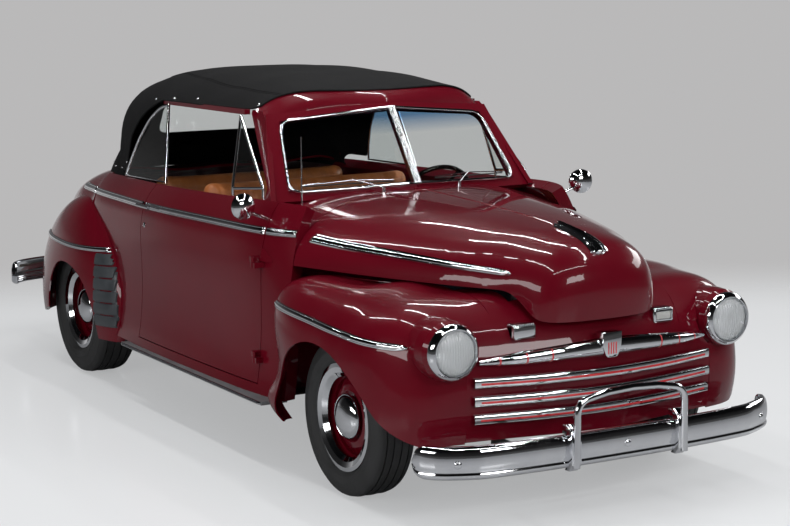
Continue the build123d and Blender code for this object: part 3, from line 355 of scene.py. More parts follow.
def slab(points, shift, corners=(), bend=0.02):
    """A plate from its outline, moved along by shift, with the numbered corners rounded."""
    plate = draw_line(softened(points, corners, bend), True)
    bpy.ops.object.mode_set(mode="EDIT")
    bpy.ops.mesh.select_all(action="SELECT")
    bpy.ops.mesh.edge_face_add()
    bpy.ops.mesh.extrude_region_move(TRANSFORM_OT_translate={"value": shift})
    bpy.ops.object.mode_set(mode="OBJECT")
    edit_all((bpy.ops.mesh.normals_make_consistent, {"inside": False}))
    return plate


def activate(piece):
    """Makes a piece the only one that operators act on."""
    clear_selection()
    piece.select_set(True)
    bpy.context.view_layer.objects.active = piece


def modify(piece, kind, **settings):
    """Adds a modifier to the active piece and applies it."""
    added = piece.modifiers.new(kind.lower(), kind)
    for setting, value in settings.items():
        setattr(added, setting, value)
    bpy.ops.object.modifier_apply(modifier=added.name)


def trim(piece, cutter, operation="DIFFERENCE"):
    """Cuts one piece with another, which is used up."""
    activate(piece)
    modify(piece, "BOOLEAN", operation=operation, object=cutter, solver="EXACT")
    bpy.data.objects.remove(cutter)


hands = ((-1, "right"), (1, "left"))
# Outlines of the glass and of the frame round it as (along the foot, up the pane), and of the pillar as (x, z).
glazed = [((p - middle_low).dot(foot), (p - middle_low).dot(rise))
          for p in (middle_low, pane_low, pane_top, middle_top)]
framed = [(glazed[0][0] - 0.0122, -0.040), (glazed[1][0] + 0.084, glazed[1][1] - 0.040),
          (glazed[2][0] + 0.056, glazed[2][1] + 0.040), (glazed[3][0] - 0.0122, glazed[3][1] + 0.034)]
pillar_side = [(0.772, 1.120), (0.706, 1.120), (0.706, 1.178), (0.372, 1.484), (0.372, 1.500), (0.474, 1.500),
               (0.524, 1.462)]
pane_bend = 0.062  # radius of the panes' outer corners
for side, hand in hands:
    turn = (lambda p: p.copy()) if side < 0 else flip
    plate = slab([turn(middle_low + foot * u + rise * v) for u, v in framed], turn(pane_out) * -0.032)
    trim(plate, slab([turn(middle_low + foot * u + rise * v + pane_out * 0.05) for u, v in glazed],
                     turn(pane_out) * -0.15, corners=(1, 2), bend=pane_bend))
    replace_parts(complete("windshield_surround_" + hand, "body", maroon), "windshield_frame")
    slab([(x, (0.700 - (z - 1.120) * 0.30) * side, z) for x, z in pillar_side], (0, -0.026 * side, 0))
    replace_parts(complete("pillar_" + hand, "body", maroon), "windshield_frame")
    slab([(x, 0.626 * side, z) for x, z in ((-0.556, 1.476), (0.370, 1.480), (0.370, 1.5042), (-0.556, 1.4992))],
         (0, -0.029 * side, 0))
    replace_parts(complete("side_rail_" + hand, "body", maroon), "windshield_frame")

# ---------------------------------------------------------------- windshield mouldings and wipers
# One chromed reveal bead frames both panes, and a ribbed chrome bar covers the joint between them.
# Each wiper is a pressed arm on a stud in the cowl, holding a blade along the foot of its pane.
rise_left, out_left = flip(rise), flip(pane_out)
reveal = [point + pane_out * 0.008 for point in (middle_low, pane_low, pane_top, middle_top)]
reveal[0].y = reveal[3].y = 0
loop = reveal + [flip(reveal[2]), flip(reveal[1])]
rounded_rod("reveal_bead", "body", chrome, loop, 0.0075, corners=(1, 2, 4, 5), bend=pane_bend, closed=True,
            ends=False)
centre_foot, centre_edge = Vector((0.862, 0, 1.166)), Vector((0.622, 0, 1.500))
for number, offset in enumerate((-0.0125, -0.004, 0.004, 0.0125)):
    shift = Vector((0, offset, 0)) + Vector((0.012 - abs(offset) * 0.3, 0, 0.006))
    rounded_rod("centre_bar_%d" % number, "body", chrome, [centre_foot + shift, centre_edge + shift], 0.0055)

blade_rubber = finish("blade_rubber", (0.02, 0.02, 0.02), (0.012, 0.012, 0.012), 0.5, 0.6, scale=30)


def panel(host):
    """A CAD node by its name, or a piece as it is."""
    return nodes[host] if isinstance(host, str) else host


def touch(host, start, way):
    """Where a straight line meets a panel, and the panel's normal there on the side that the line comes from."""
    _, place, normal, _ = panel(host).ray_cast(Vector(start), Vector(way))
    return place, normal if normal.dot(Vector(way)) < 0 else -normal


def wiper(side, name):
    """A wiper parked along the foot of the pane on one side: stud, arm, blade and its rubber."""
    turn = (lambda p: p) if side < 0 else flip
    foot_point, _ = touch("cowl", (0.905, 0.200 * side, 1.4), (0, 0, -1))
    top = foot_point + Vector((0, 0, 0.024))
    rounded_rod(name + "_stud", "body", chrome, [foot_point - Vector((0, 0, 0.006)), top], 0.008)
    along = [turn(middle_low + foot * at + rise * up + pane_out * out)
             for at, up, out in ((0.30, 0.034, 0.026), (0.10, 0.026, 0.014), (0.53, 0.030, 0.014))]
    rounded_rod(name + "_arm", "body", chrome, [top - Vector((0, 0, 0.004)), top.lerp(along[0], 0.5) + pane_out * 0.004,
                                                along[0]], 0.0027, corners=(1,), bend=0.03)
    rounded_rod(name + "_blade", "body", chrome, [along[1], along[0] - Vector((0.004, 0, 0.002)), along[2]], 0.0026,
                corners=(1,), bend=0.05)
    rounded_rod(name + "_rubber", "body", blade_rubber,
                [point - pane_out * 0.007 - rise * 0.003 for point in (along[1], along[2])], 0.0028)


for side, hand in hands:
    wiper(side, "wiper_" + hand)

# ---------------------------------------------------------------- rear quarter windows
# A bright bar bent round each quarter pane, standing on the body side under the edge of the cloth.
# The flat pane is bedded in the bar, which is screwed to the body and to the side rail.
quarter_line = [(-0.352, 1.106), (-0.852, 1.098), (-0.822, 1.180), (-0.764, 1.288), (-0.668, 1.396), (-0.560, 1.458),
                (-0.462, 1.478)]
for side, hand in hands:
    around = [Vector((x, (0.712 - (z - 1.118) * 0.2) * side, z)) for x, z in quarter_line]
    rounded_rod("quarter_frame_" + hand, "body", chrome, around, 0.008, corners=(3, 4, 5), bend=0.045, closed=True,
                ends=False)
    slab(around, (0, -0.003 * side, -0.0006), corners=(3, 4, 5), bend=0.045)
    complete("quarter_pane_" + hand, "body", clear_glass)

# ---------------------------------------------------------------- header
# A pressed steel rail over the windshield, rolled from the reveal up to the edge of the cloth and painted.
# It stands on the surround and carries the cloth's front edge, whose sections it follows.

# x, half width, crown height and roundness of the cloth's sections from the windshield to the rear bow
crown_rows = [(0.690, 0.625, 1.494, 5.0), (0.600, 0.645, 1.544, 5.0), (0.500, 0.655, 1.586, 4.6),
              (0.350, 0.690, 1.622, 3.8), (0.175, 0.710, 1.639, 3.5), (0.0, 0.725, 1.648, 3.3),
              (-0.175, 0.732, 1.654, 3.3), (-0.350, 0.735, 1.655, 3.3), (-0.525, 0.733, 1.653, 3.3),
              (-0.700, 0.725, 1.646, 3.4), (-0.850, 0.710, 1.629, 3.5), (-1.000, 0.690, 1.600, 3.6)]
belt_z = 1.040  # height from which the cloth's sections rise


def eased(t, start, end, leave, arrive):
    """A value on the way from start to end, with its slope at each."""
    return ((2 * t**3 - 3 * t**2 + 1) * start + (t**3 - 2 * t**2 + t) * leave + (-2 * t**3 + 3 * t**2) * end
            + (t**3 - t**2) * arrive)


def grid(steps, across):
    """A flat sheet of steps by across faces, to be shaped."""
    clear_selection()
    bpy.ops.mesh.primitive_grid_add(x_subdivisions=steps, y_subdivisions=across, size=2)
    return bpy.context.object


def cell(vertex, steps, across):
    """The column and row of a flat sheet's vertex."""
    return round((vertex.co.x + 1) / 2 * steps), round((vertex.co.y + 1) / 2 * across)


def face_towards(sheet, way):
    """Turns a sheet over if its faces look away from a direction."""
    if sum(polygon.normal.dot(Vector(way)) for polygon in sheet.data.polygons) < 0:
        sheet.data.flip_normals()


def between(rows, at):
    """The values of a table of sections at a place, smooth through its rows."""
    k = 0
    while k < len(rows) - 2 and (at - rows[k + 1][0]) * (rows[-1][0] - rows[0][0]) > 0:
        k += 1
    before, start, end, after = rows[max(k - 1, 0)], rows[k], rows[k + 1], rows[min(k + 2, len(rows) - 1)]
    span = end[0] - start[0]
    t = (at - start[0]) / span
    values = []
    for p0, p1, p2, p3 in zip(before[1:], start[1:], end[1:], after[1:]):
        m1, m2 = (p2 - p0) / (end[0] - before[0]) * span, (p3 - p1) / (after[0] - start[0]) * span
        values.append(eased(t, p1, p2, m1, m2))
    return values


def cloth_front(y):
    """Where the cloth's front edge lies, which runs back towards the sides."""
    y = abs(y)
    return 0.520 - 0.020 * (y / 0.26) ** 2 if y < 0.26 else 0.500 - 0.075 * ((y - 0.26) / 0.30) ** 1.1


header = grid(64, 10)
header_half = 0.590  # half its length across the car
for vertex in header.data.vertices:
    across, up = vertex.co.x, (vertex.co.y + 1) / 2
    y = abs(across) * header_half
    low = centre_edge.lerp(flip(pane_top), y / -pane_top.y)
    low.y = y
    low = low + rise_left * 0.030 - out_left * 0.004
    edge_x = cloth_front(y) - 0.010
    half_width, crown, roundness = between(crown_rows, edge_x)
    rise_share = (1 - (y / half_width) ** roundness) ** (1 / roundness)
    top = Vector((edge_x, y, belt_z + (crown - belt_z) * rise_share - 0.005))
    place = low.lerp(top, up)
    place += (Vector((0.85, 0, 0.53)) * 0.015) * math.sin(math.pi * up) ** 0.8 * min(1, (1.02 - abs(across)) * 6)
    vertex.co = (place.x, y * (1 if across >= 0 else -1), place.z)
face_towards(header, (1, 0, 0))
modify(header, "SOLIDIFY", thickness=0.004, offset=-1)
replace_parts(complete("header_rail", "body", maroon, 40), "windshield_frame")

# ---------------------------------------------------------------- radio aerial
# A chromed whip in three sections that slide into each other, on a turned base.
# The base is screwed through the right side of the cowl.
mast_foot, _ = touch("cowl", (0.985, -0.655, 1.4), (0, 0, -1))
base = [(-0.004, 0.0), (-0.004, 0.016), (0.004, 0.015), (0.012, 0.010), (0.022, 0.0065), (0.030, 0.009),
        (0.038, 0.0065), (0.044, 0.003), (0.044, 0.0)]
lathe(base, mast_foot, (0, 0, 1), 28, closed=False)
complete("aerial_base", "body", chrome)
for number, (low, high, radius) in enumerate(((0.040, 0.17, 0.0034), (0.165, 0.29, 0.0026), (0.285, 0.375, 0.0019))):
    rounded_rod("aerial_%d" % number, "body", chrome,
                [mast_foot + Vector((0, 0, low)), mast_foot + Vector((-0.002, 0, high))], radius)

# ---------------------------------------------------------------- bright strips along the sides
# Rolled stainless mouldings with a crowned face, clipped to studs along hood, belt line and fenders.
# Each follows the panel it is clipped to, and ends where the door or the hood opens.


def smooth_path(points, count):
    """Evenly numbered places along a polyline, rounded where it bends."""
    spans = [0.0]
    for a, b in zip(points, points[1:]):
        spans.append(spans[-1] + math.dist(a, b))
    places = []
    for step in range(count + 1):
        at = spans[-1] * step / count
        k = max(i for i in range(len(points) - 1) if spans[i] <= at + 1e-9)
        t = (at - spans[k]) / (spans[k + 1] - spans[k])
        before, after = points[max(k - 1, 0)], points[min(k + 2, len(points) - 1)]
        places.append(Vector([eased(t, p1, p2, (p2 - p0) / 2, (p3 - p1) / 2)
                              for p0, p1, p2, p3 in zip(before, points[k], points[k + 1], after)]))
    return places


def lay_on(name, host, body, material, line, widths, direction, face, steps=60, wall=0.002, taper=(1, 1)):
    """A ribbon laid on a panel. line holds its middle, in metres, away from the panel; direction is the way the
    ribbon travels to meet it, widths its half width at each end, face its outline across as (side -1..1, height),
    and taper the share of the width that is left at each end."""
    ribbon = grid(steps, len(face) - 1)
    path = smooth_path(line, steps)
    way = Vector(direction).normalized()
    heights = {}
    for vertex in ribbon.data.vertices:
        column, row = cell(vertex, steps, len(face) - 1)
        ahead = (path[min(column + 1, steps)] - path[max(column - 1, 0)]).normalized()
        across = ahead.cross(way).normalized()
        share = column / steps
        near_end = min(share * steps / 4, (1 - share) * steps / 4, 1)
        blunt = 1 - (1 - near_end) ** 2 * (1 - (taper[0] if share < 0.5 else taper[1]))
        half = (widths[0] * (1 - share) + widths[1] * share) * blunt
        heights[vertex.index] = face[row][1] * (1 if 0 < column < steps else 0.2)
        vertex.co = path[column] + across * half * face[row][0]
    axis = max(range(3), key=lambda i: abs(direction[i]))
    modify(ribbon, "SHRINKWRAP", target=panel(host), wrap_method="PROJECT",
           use_negative_direction=direction[axis] < 0, use_positive_direction=direction[axis] > 0,
           **{"use_project_" + letter: letter == "xyz"[axis] for letter in "xyz"})
    mesh = ribbon.data
    missed = [v.index for v in mesh.vertices if min(abs((v.co - p)[axis]) for p in path) < 1e-6]
    for part in (mesh.vertices, mesh.edges, mesh.polygons):
        for item in part:
            item.select = False
    turn = -1 if sum(polygon.normal.dot(way) for polygon in mesh.polygons) > 0 else 1
    lifts = [Vector(v.normal) * turn * heights[v.index] for v in mesh.vertices]
    for vertex, lift in zip(mesh.vertices, lifts):
        vertex.co += lift
    if turn < 0:
        mesh.flip_normals()
    if missed:  # the ribbon runs past the panel's edge here, and is cut off
        for index in missed:
            mesh.vertices[index].select = True
        bpy.ops.object.mode_set(mode="EDIT")
        bpy.ops.mesh.delete(type="VERT")
        bpy.ops.object.mode_set(mode="OBJECT")
    modify(ribbon, "SOLIDIFY", thickness=wall, offset=-1)
    return complete(name, body, material, 40)


# Faces of ribbons, and the middle line of the belt moulding as (x, z).
paint_ridge = [(-1, 0.0), (-0.5, 0.0012), (0, 0.0028), (0.5, 0.0012), (1, 0.0)]
crowned = [(-1, 0.0008), (-0.86, 0.0062), (-0.60, 0.0078), (-0.52, 0.0070), (-0.40, 0.0088), (0, 0.0105),
           (0.40, 0.0088), (0.52, 0.0070), (0.60, 0.0078), (0.86, 0.0062), (1, 0.0008)]
belt = [(-1.450, 0.990), (-1.378, 0.991), (-1.016, 0.994), (-0.443, 0.995), (0.235, 1.004), (0.883, 1.014),
        (1.10, 1.017)]
beside = 1.05  # distance from the middle, in metres, that is clear of the body on either side


def belt_height(x):
    """The height of the belt moulding's middle."""
    for (x0, z0), (x1, z1) in zip(belt, belt[1:]):
        if x0 <= x <= x1:
            return z0 + (z1 - z0) * (x - x0) / (x1 - x0)
    return belt[0][1] if x < belt[0][0] else belt[-1][1]


def belt_run(*stops):
    """The belt moulding's middle line through places along the car."""
    return [(x, belt_height(x)) for x in stops]


belt_half = (0.0165, 0.0165)
strips = [  # name, panel, body, line as (x, z), half widths, taper
    ("hood_strip", "hood", "hood_lid", [(1.122, 1.0025), (1.300, 0.992), (1.556, 0.981), (1.785, 0.969),
                                        (2.000, 0.956), (2.116, 0.950)], (0.0175, 0.0125), (1, 0.15)),
    ("belt_door", "door", "door", belt_run(-0.382, 0.0, 0.45, 0.884), belt_half, (1, 1)),
    ("belt_quarter", "body_sides", "body", belt_run(-1.148, -0.8, -0.402), belt_half, (1, 1)),
    ("belt_cowl", "body_sides", "body", belt_run(0.902, 1.0, 1.094), belt_half, (1, 1)),
    ("fender_strip_front", "front_fender", "body", [(1.150, 0.745), (1.453, 0.731), (1.790, 0.712), (2.105, 0.700)],
     (0.016, 0.0145), (0.9, 0.15)),
    ("fender_strip_rear", "rear_fender", "body", [(-1.720, 0.719), (-1.418, 0.711), (-1.120, 0.709),
                                                  (-0.760, 0.724)], (0.0135, 0.0135), (0.3, 1)),
]
for name, node, body, line, widths, taper in strips:
    for side, hand in hands:
        host = node + "_" + hand if node in ("door", "front_fender", "rear_fender") else node
        carrier = "door_" + hand if body == "door" else body
        lay_on(name + "_" + hand, host, carrier, chrome, [(x, beside * side, z) for x, z in line], widths,
               (0, -side, 0), crowned, taper=taper)
for side, hand in hands:
    lay_on("belt_tail_" + hand, "rear_body", "body", chrome,
           [(x, beside * side, z) for x, z in belt_run(-1.440, -1.3, -1.166)], belt_half, (0, -side, 0), crowned,
           taper=(0.3, 1))

# ---------------------------------------------------------------- hood ridge and ornament
# The hood's pressed centre ridge ends in a chrome spear: a finned casting on two rails.
# Studs cast into its underside pass through the hood's crest and are nutted from below.
over_hood = 1.5  # a height clear of the hood
lay_on("hood_ridge", "hood", "hood_lid", maroon, [(x, 0, over_hood) for x in (0.925, 1.4, 1.97)], (0.010, 0.008),
       (0, 0, -1), paint_ridge, taper=(1, 0.2))
spear = [(-1, 0.001), (-0.92, 0.011), (-0.72, 0.014), (-0.58, 0.006), (-0.30, 0.005), (-0.20, 0.016), (0, 0.024),
         (0.20, 0.016), (0.30, 0.005), (0.58, 0.006), (0.72, 0.014), (0.92, 0.011), (1, 0.001)]
lay_on("hood_spear", "hood", "hood_lid", chrome, [(x, 0, over_hood) for x in (1.968, 2.10, 2.262)], (0.026, 0.041),
       (0, 0, -1), spear, taper=(0.1, 0.5), wall=0.003)

# ---------------------------------------------------------------- stone guards
# Ribbed rubber pads on a thin rubber backing, which keep stones off the paint.
# They are moulded to the leading faces of the rear fenders and bonded to them.
guard_rubber = finish("guard_rubber", (0.045, 0.050, 0.055), (0.030, 0.034, 0.038), 0.32, 0.5, scale=10)
guard_face = [(-1, 0.001), (-0.9, 0.006), (-0.3, 0.0075), (0.3, 0.0075), (0.9, 0.006), (1, 0.001)]
# height, rear edge and front edge of each band
guard_bands = [(0.672, -0.902, -0.768), (0.610, -0.896, -0.742), (0.548, -0.890, -0.716), (0.486, -0.886, -0.700),
               (0.424, -0.880, -0.688), (0.362, -0.874, -0.682), (0.308, -0.870, -0.682)]
for side, hand in hands:
    lay_on("stone_pad_" + hand, "rear_fender_" + hand, "body", guard_rubber,
           [((rear + nose) / 2, beside * side, z + 0.026) for z, rear, nose in guard_bands], (0.071, 0.096),
           (0, -side, 0), [(-1, 0.001), (-0.9, 0.0045), (0.9, 0.0045), (1, 0.001)], steps=40)
    for number, (z, rear, nose) in enumerate(guard_bands[:-1]):
        lay_on("stone_guard_%s_%d" % (hand, number), "rear_fender_" + hand, "body", guard_rubber,
               [(rear, beside * side, z - 0.002), ((rear + nose) / 2, beside * side, z),
                (nose, beside * side, z + 0.004)],
               (0.029, 0.029), (0, -side, 0), guard_face, steps=24, taper=(0.9, 0.9))

# ---------------------------------------------------------------- running board trim
# Steel boards covered in moulded rubber, which is glued down over the whole top.
# A bright strip is clipped along the outer edge, and holds the rubber there.
tread_rubber = finish("tread_rubber", (0.15, 0.155, 0.16), (0.11, 0.115, 0.12), 0.4, 0.6, scale=9, grain=(250, 0.0004))
dress(["running_boards"], tread_rubber)
for side, hand in hands:
    lay_on("board_strip_" + hand, "running_boards", "body", chrome,
           [(x, beside * side, 0.2918) for x in (-0.515, 0.2, 1.055)], (0.0072, 0.0072), (0, -side, 0), crowned)

# ---------------------------------------------------------------- grille bars
# Four die-cast bars, plated. The upper one is deep at its middle like a pair of wings.
# They are bolted to the grille panel from behind, and a plain plated shield covers the wings' middle.


def pressed(name, path, face, heights, outward, wall, node):
    """A sheet bar swept along a path: face holds (depth, height) across it, and heights scales it along the path."""
    steps, across = len(path) - 1, len(face) - 1
    bar = grid(steps, across)
    for vertex in bar.data.vertices:
        at, row = cell(vertex, steps, across)
        depth, height = face[row][:2]
        out = (path[min(at + 1, steps)] - path[max(at - 1, 0)]).normalized().cross(Vector((0, 0, 1)))
        out *= math.copysign(1, out.x * outward)
        vertex.co = path[at] + out * depth + Vector((0, 0, height * heights[at]))
    face_towards(bar, (outward, 0, 0))
    modify(bar, "SOLIDIFY", thickness=wall, offset=-1)
    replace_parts(complete(name, "body", chrome, 40), node)
    return bar


def both_ways(half):
    """A path across the car from its left half, which runs outwards from the middle."""
    return [(x, -y, z) for x, y, z in reversed(half[1:])] + list(half)


bar_steps = 80  # along each bar
wing_rows = [(0, 0.076), (0.110, 0.070), (0.260, 0.060), (0.420, 0.048), (0.545, 0.026)]
wing_path = smooth_path(both_ways([(2.326, 0, 0.660), (2.324, 0.110, 0.658), (2.310, 0.260, 0.653),
                                   (2.278, 0.420, 0.645), (2.228, 0.545, 0.637)]), bar_steps)
wing_face = smooth_path([(-0.014, 0.5, 0), (0.005, 0.38, 0), (0.013, 0.08, 0), (0.009, -0.28, 0),
                         (-0.014, -0.5, 0)], 12)
wing_heights = [between(wing_rows, min(abs(point.y), wing_rows[-1][0]))[0] for point in wing_path]
bars = [pressed("grille_wing", wing_path, wing_face, wing_heights, 1, 0.003, "grille_bars")]
bar_face = [(-0.011, 0.019), (0.005, 0.019), (0.0095, 0.016), (0.011, 0.011), (0.011, -0.011), (0.0095, -0.016),
            (0.005, -0.019), (-0.011, -0.019)]
for number, (x_end, y_end, z, x_middle) in enumerate(((2.233, 0.570, 0.560, 2.323), (2.235, 0.572, 0.488, 2.319),
                                                      (2.231, 0.570, 0.417, 2.313))):
    half_bar = [(x_middle, 0, z), (x_middle - 0.024, y_end / 2, z), (x_end, y_end, z)]
    bar_path = smooth_path(both_ways(half_bar), bar_steps)
    bars.append(pressed("grille_bar_%d" % number, bar_path, bar_face, [1] * len(bar_path), 1, 0.003, "grille_bars"))
shield_line = [(-0.046, 0.724), (0.046, 0.724), (0.044, 0.664), (0.026, 0.622), (-0.026, 0.622), (-0.044, 0.664)]
shield = slab([(2.300, y, z) for y, z in shield_line], (0.048, 0, 0), corners=(2, 3, 4, 5), bend=0.012)
edit_all((bpy.ops.mesh.bevel, {"offset": 0.0025, "segments": 2, "affect": "EDGES"}))
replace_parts(complete("grille_shield", "body", chrome, 40), "grille_bars")

# ---------------------------------------------------------------- grille lines
# Lines of red enamel, brushed on over the plating and baked.
# They run along the middle of the lower bars, and short ones cross the upper bar and the plain shield.
before_bars = 2.42  # an x in front of the bars
red_enamel = finish("red_enamel", (0.50, 0.02, 0.025), (0.40, 0.015, 0.02), 0.25, 0.35, scale=20)
flat_line = [(-1, 0.0002), (-0.6, 0.0009), (0.6, 0.0009), (1, 0.0002)]
for number, z in enumerate((0.557, 0.485, 0.414)):
    lay_on("bar_line_%d" % number, bars[number + 1], "body", red_enamel,
           [(before_bars, y, z) for y in (-0.548, -0.3, 0, 0.3, 0.548)], (0.0042, 0.0042), (-1, 0, 0), flat_line,
           steps=120, wall=0.001)
for number, y in enumerate((-0.475, -0.370, -0.265, 0.265, 0.370, 0.475)):
    middle = 0.660 - 0.019 * (abs(y) / 0.475) ** 1.3
    half = 0.027 - 0.010 * (abs(y) - 0.265) / 0.21
    lay_on("wing_line_%d" % number, bars[0], "body", red_enamel,
           [(before_bars, y, z) for z in (middle + half, middle, middle - half)], (0.0032, 0.0032), (-1, 0, 0),
           flat_line, steps=16, wall=0.001)
for number, y in enumerate((-0.018, -0.006, 0.006, 0.018)):
    lay_on("shield_line_%d" % number, shield, "body", red_enamel,
           [(before_bars, y, z) for z in (0.682, 0.660, 0.636)], (0.0028, 0.0028), (-1, 0, 0), flat_line, steps=12,
           wall=0.001)

# ---------------------------------------------------------------- headlamps
# Chromed brass door rings over silvered steel reflectors, each closed by a domed lens pressed with upright flutes.
# The reflector sits in the fender's bucket, and the ring clips over the lens and is held by a screw.
silvered = finish("silvered_bowl", (0.95, 0.96, 0.97), (0.92, 0.93, 0.95), 0.22, 0.30, scale=12, metallic=0.35)
lens_glass = new_material("fluted_glass", Base_Color=(0.93, 0.95, 0.96, 1), Roughness=0.05,
                          Transmission_Weight=0.72)
ribbed(lens_glass, (0, 1, 0), 0.011, 0.0014)
lamp_parts = [  # name, outline as (forward, radius), steps, closed, material, smoothing angle
    ("ring", [(-0.013, 0.100), (-0.013, 0.111), (-0.002, 0.1115), (0.008, 0.108), (0.016, 0.101), (0.020, 0.094),
              (0.0195, 0.0905), (0.015, 0.0895), (0.006, 0.0895), (0.000, 0.094)], 96, True, chrome, 30),
    ("bowl", [(-0.100, 0.0), (-0.096, 0.030), (-0.080, 0.058), (-0.050, 0.080), (-0.008, 0.0895), (-0.008, 0.0915),
              (-0.054, 0.083), (-0.084, 0.060), (-0.100, 0.031), (-0.104, 0.0)], 64, False, silvered, 50),
    ("lens", [(0.034, 0.0), (0.032, 0.030), (0.026, 0.058), (0.017, 0.080), (0.010, 0.0885), (0.007, 0.0885),
              (0.013, 0.079), (0.022, 0.057), (0.028, 0.030), (0.030, 0.0)], 64, False, lens_glass, 60),
    ("bulb", [(-0.075, 0.0), (-0.075, 0.012), (-0.045, 0.014), (-0.030, 0.012), (-0.022, 0.006), (-0.020, 0.0)],
     24, False, silvered, 50),
]
for side, hand in hands:
    lamp = Vector((2.242, 0.668 * side, 0.693))
    for part, outline, steps, closed, material, angle in lamp_parts:
        lathe(outline, lamp, (1, 0, 0), steps, closed)
        piece = complete("headlamp_%s_%s" % (part, hand), "body", material, angle)
        if part != "bulb":
            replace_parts(piece, "headlights")

# ---------------------------------------------------------------- parking lamps
# Die-cast chromed housings with a toothed cap, each holding a ribbed lens.
# They stand on the catwalk above the grille, on two studs through the sheet.
side_lens = new_material("ribbed_glass", Base_Color=(0.90, 0.90, 0.86, 1), Roughness=0.12,
                         Transmission_Weight=0.55)
ribbed(side_lens, (0, 1, 0), 0.006, 0.003)


def rounded_block(low, high, edge, segments=3):
    """A block between two corners with rounded edges."""
    clear_selection()
    bpy.ops.mesh.primitive_cube_add(size=1, location=[(a + b) / 2 for a, b in zip(low, high)])
    bpy.context.object.scale = [b - a for a, b in zip(low, high)]
    bpy.ops.object.transform_apply(location=True, rotation=True, scale=True)
    edit_all((bpy.ops.mesh.bevel, {"offset": edge, "segments": segments, "affect": "EDGES"}))
    return bpy.context.object


for side, hand in hands:
    y = 0.338 * side
    housing = rounded_block((2.162, y - 0.0515, 0.7095), (2.240, y + 0.0515, 0.7685), 0.010)
    for face in housing.data.polygons:
        face.select = face.normal.x > 0.99
    bpy.ops.object.mode_set(mode="EDIT")
    bpy.ops.mesh.select_mode(type="FACE")
    bpy.ops.mesh.inset(thickness=0.003)
    bpy.ops.mesh.extrude_region_move(TRANSFORM_OT_translate={"value": (-0.010, 0, 0)})
    bpy.ops.object.mode_set(mode="OBJECT")
    housing = complete("parking_housing_" + hand, "body", chrome)
    rounded_block((2.226, y - 0.0375, 0.7235), (2.2385, y + 0.0375, 0.7545), 0.004)
    lens = complete("parking_lens_" + hand, "body", side_lens)
    for tooth in range(9):
        at = y - 0.036 + 0.009 * tooth
        rounded_block((2.176, at - 0.0026, 0.762), (2.2415, at + 0.0026, 0.7715), 0.0018, segments=2)
        complete("parking_tooth_%s_%d" % (hand, tooth), "body", chrome)
    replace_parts(housing, "parking_lights")
    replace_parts(lens, "parking_lights")

# ---------------------------------------------------------------- bumper blades
# Rolled spring steel, plated: a bulged face with a ridge low down, rolled edges, and ends that wrap round the fenders.
# Carriage bolts hold each blade to irons on the chassis frame.
blade_face = smooth_path([(-0.024, 0.066, 0), (-0.008, 0.063, 0), (0.003, 0.048, 0), (0.008, 0.020, 0),
                          (0.008, -0.010, 0), (0.004, -0.034, 0), (0.008, -0.042, 0), (0.004, -0.054, 0),
                          (-0.008, -0.063, 0), (-0.024, -0.066, 0)], 36)
front_half = [(2.446, 0), (2.440, 0.330), (2.420, 0.600), (2.392, 0.700), (2.345, 0.790), (2.290, 0.838),
              (2.240, 0.850)]
rear_half = [(-2.488, 0), (-2.480, 0.300), (-2.448, 0.560), (-2.412, 0.700), (-2.362, 0.800), (-2.300, 0.850),
             (-2.250, 0.868)]
blades = []
for end, half, z, outward in (("front", front_half, 0.297, 1), ("rear", rear_half, 0.405, -1)):
    steps, tip_length, tip_height, full_height = 120, 0.052, 0.014, 0.066
    path = smooth_path(both_ways([(x, y, z) for x, y in half]), steps)
    step = (path[steps // 2] - path[steps // 2 - 1]).length
    tips = [1 - min(at, steps - at) * step / tip_length for at in range(steps + 1)]
    squeeze = [(tip_height + tip_length * math.sqrt(1 - tip * tip)) / full_height if tip > 0 else 1 for tip in tips]
    blades.append(pressed(end + "_blade", path, blade_face, squeeze, outward, 0.005, end + "_bumper"))

# ---------------------------------------------------------------- bumper guards
# A plated tube bent into an arch stands on two clamps at the front, and two plain clamps grip the rear blade.
# Each clamp is a casting that hooks over its blade's edges and is bolted through it.


def guard_clamp(name, x, y, z, outward, reach):
    """A clamp over a blade, whose outline is (outward, up) from the blade's middle."""
    half = 0.022
    outline = [(-0.037, 0.067), (-0.037, 0.100), (-0.008, 0.107), (reach * 0.7, 0.084), (reach, 0.043),
               (reach, -0.047), (reach * 0.3, -0.075), (-0.017, -0.075), (-0.017, -0.067), (-0.011, -0.067),
               (-0.011, 0.067)]
    slab([(x + outward * a, y - half, z + b) for a, b in outline], (0, 2 * half, 0))
    edit_all((bpy.ops.mesh.bevel, {"offset": 0.0035, "segments": 2, "affect": "EDGES"}))
    return complete(name, "body", chrome, 40)


hoop_line = [(2.476, y, z) for y, z in ((-0.262, 0.238), (-0.258, 0.497), (-0.12, 0.521), (0.0, 0.527), (0.12, 0.521),
                                        (0.258, 0.497), (0.262, 0.238))]
hoop = rounded_rod("guard_hoop", "body", chrome, hoop_line, 0.0148, corners=(1, 5), bend=0.052)
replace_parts(hoop, "bumper_guard")
for side, hand in hands:
    for end, x, z, outward, reach in (("front", 2.441, 0.297, 1, 0.035), ("rear", -2.483, 0.405, -1, 0.017)):
        clamp = guard_clamp("guard_clamp_%s_%s" % (end, hand), x, 0.258 * side, z, outward, reach)
        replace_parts(clamp, "bumper_guard")

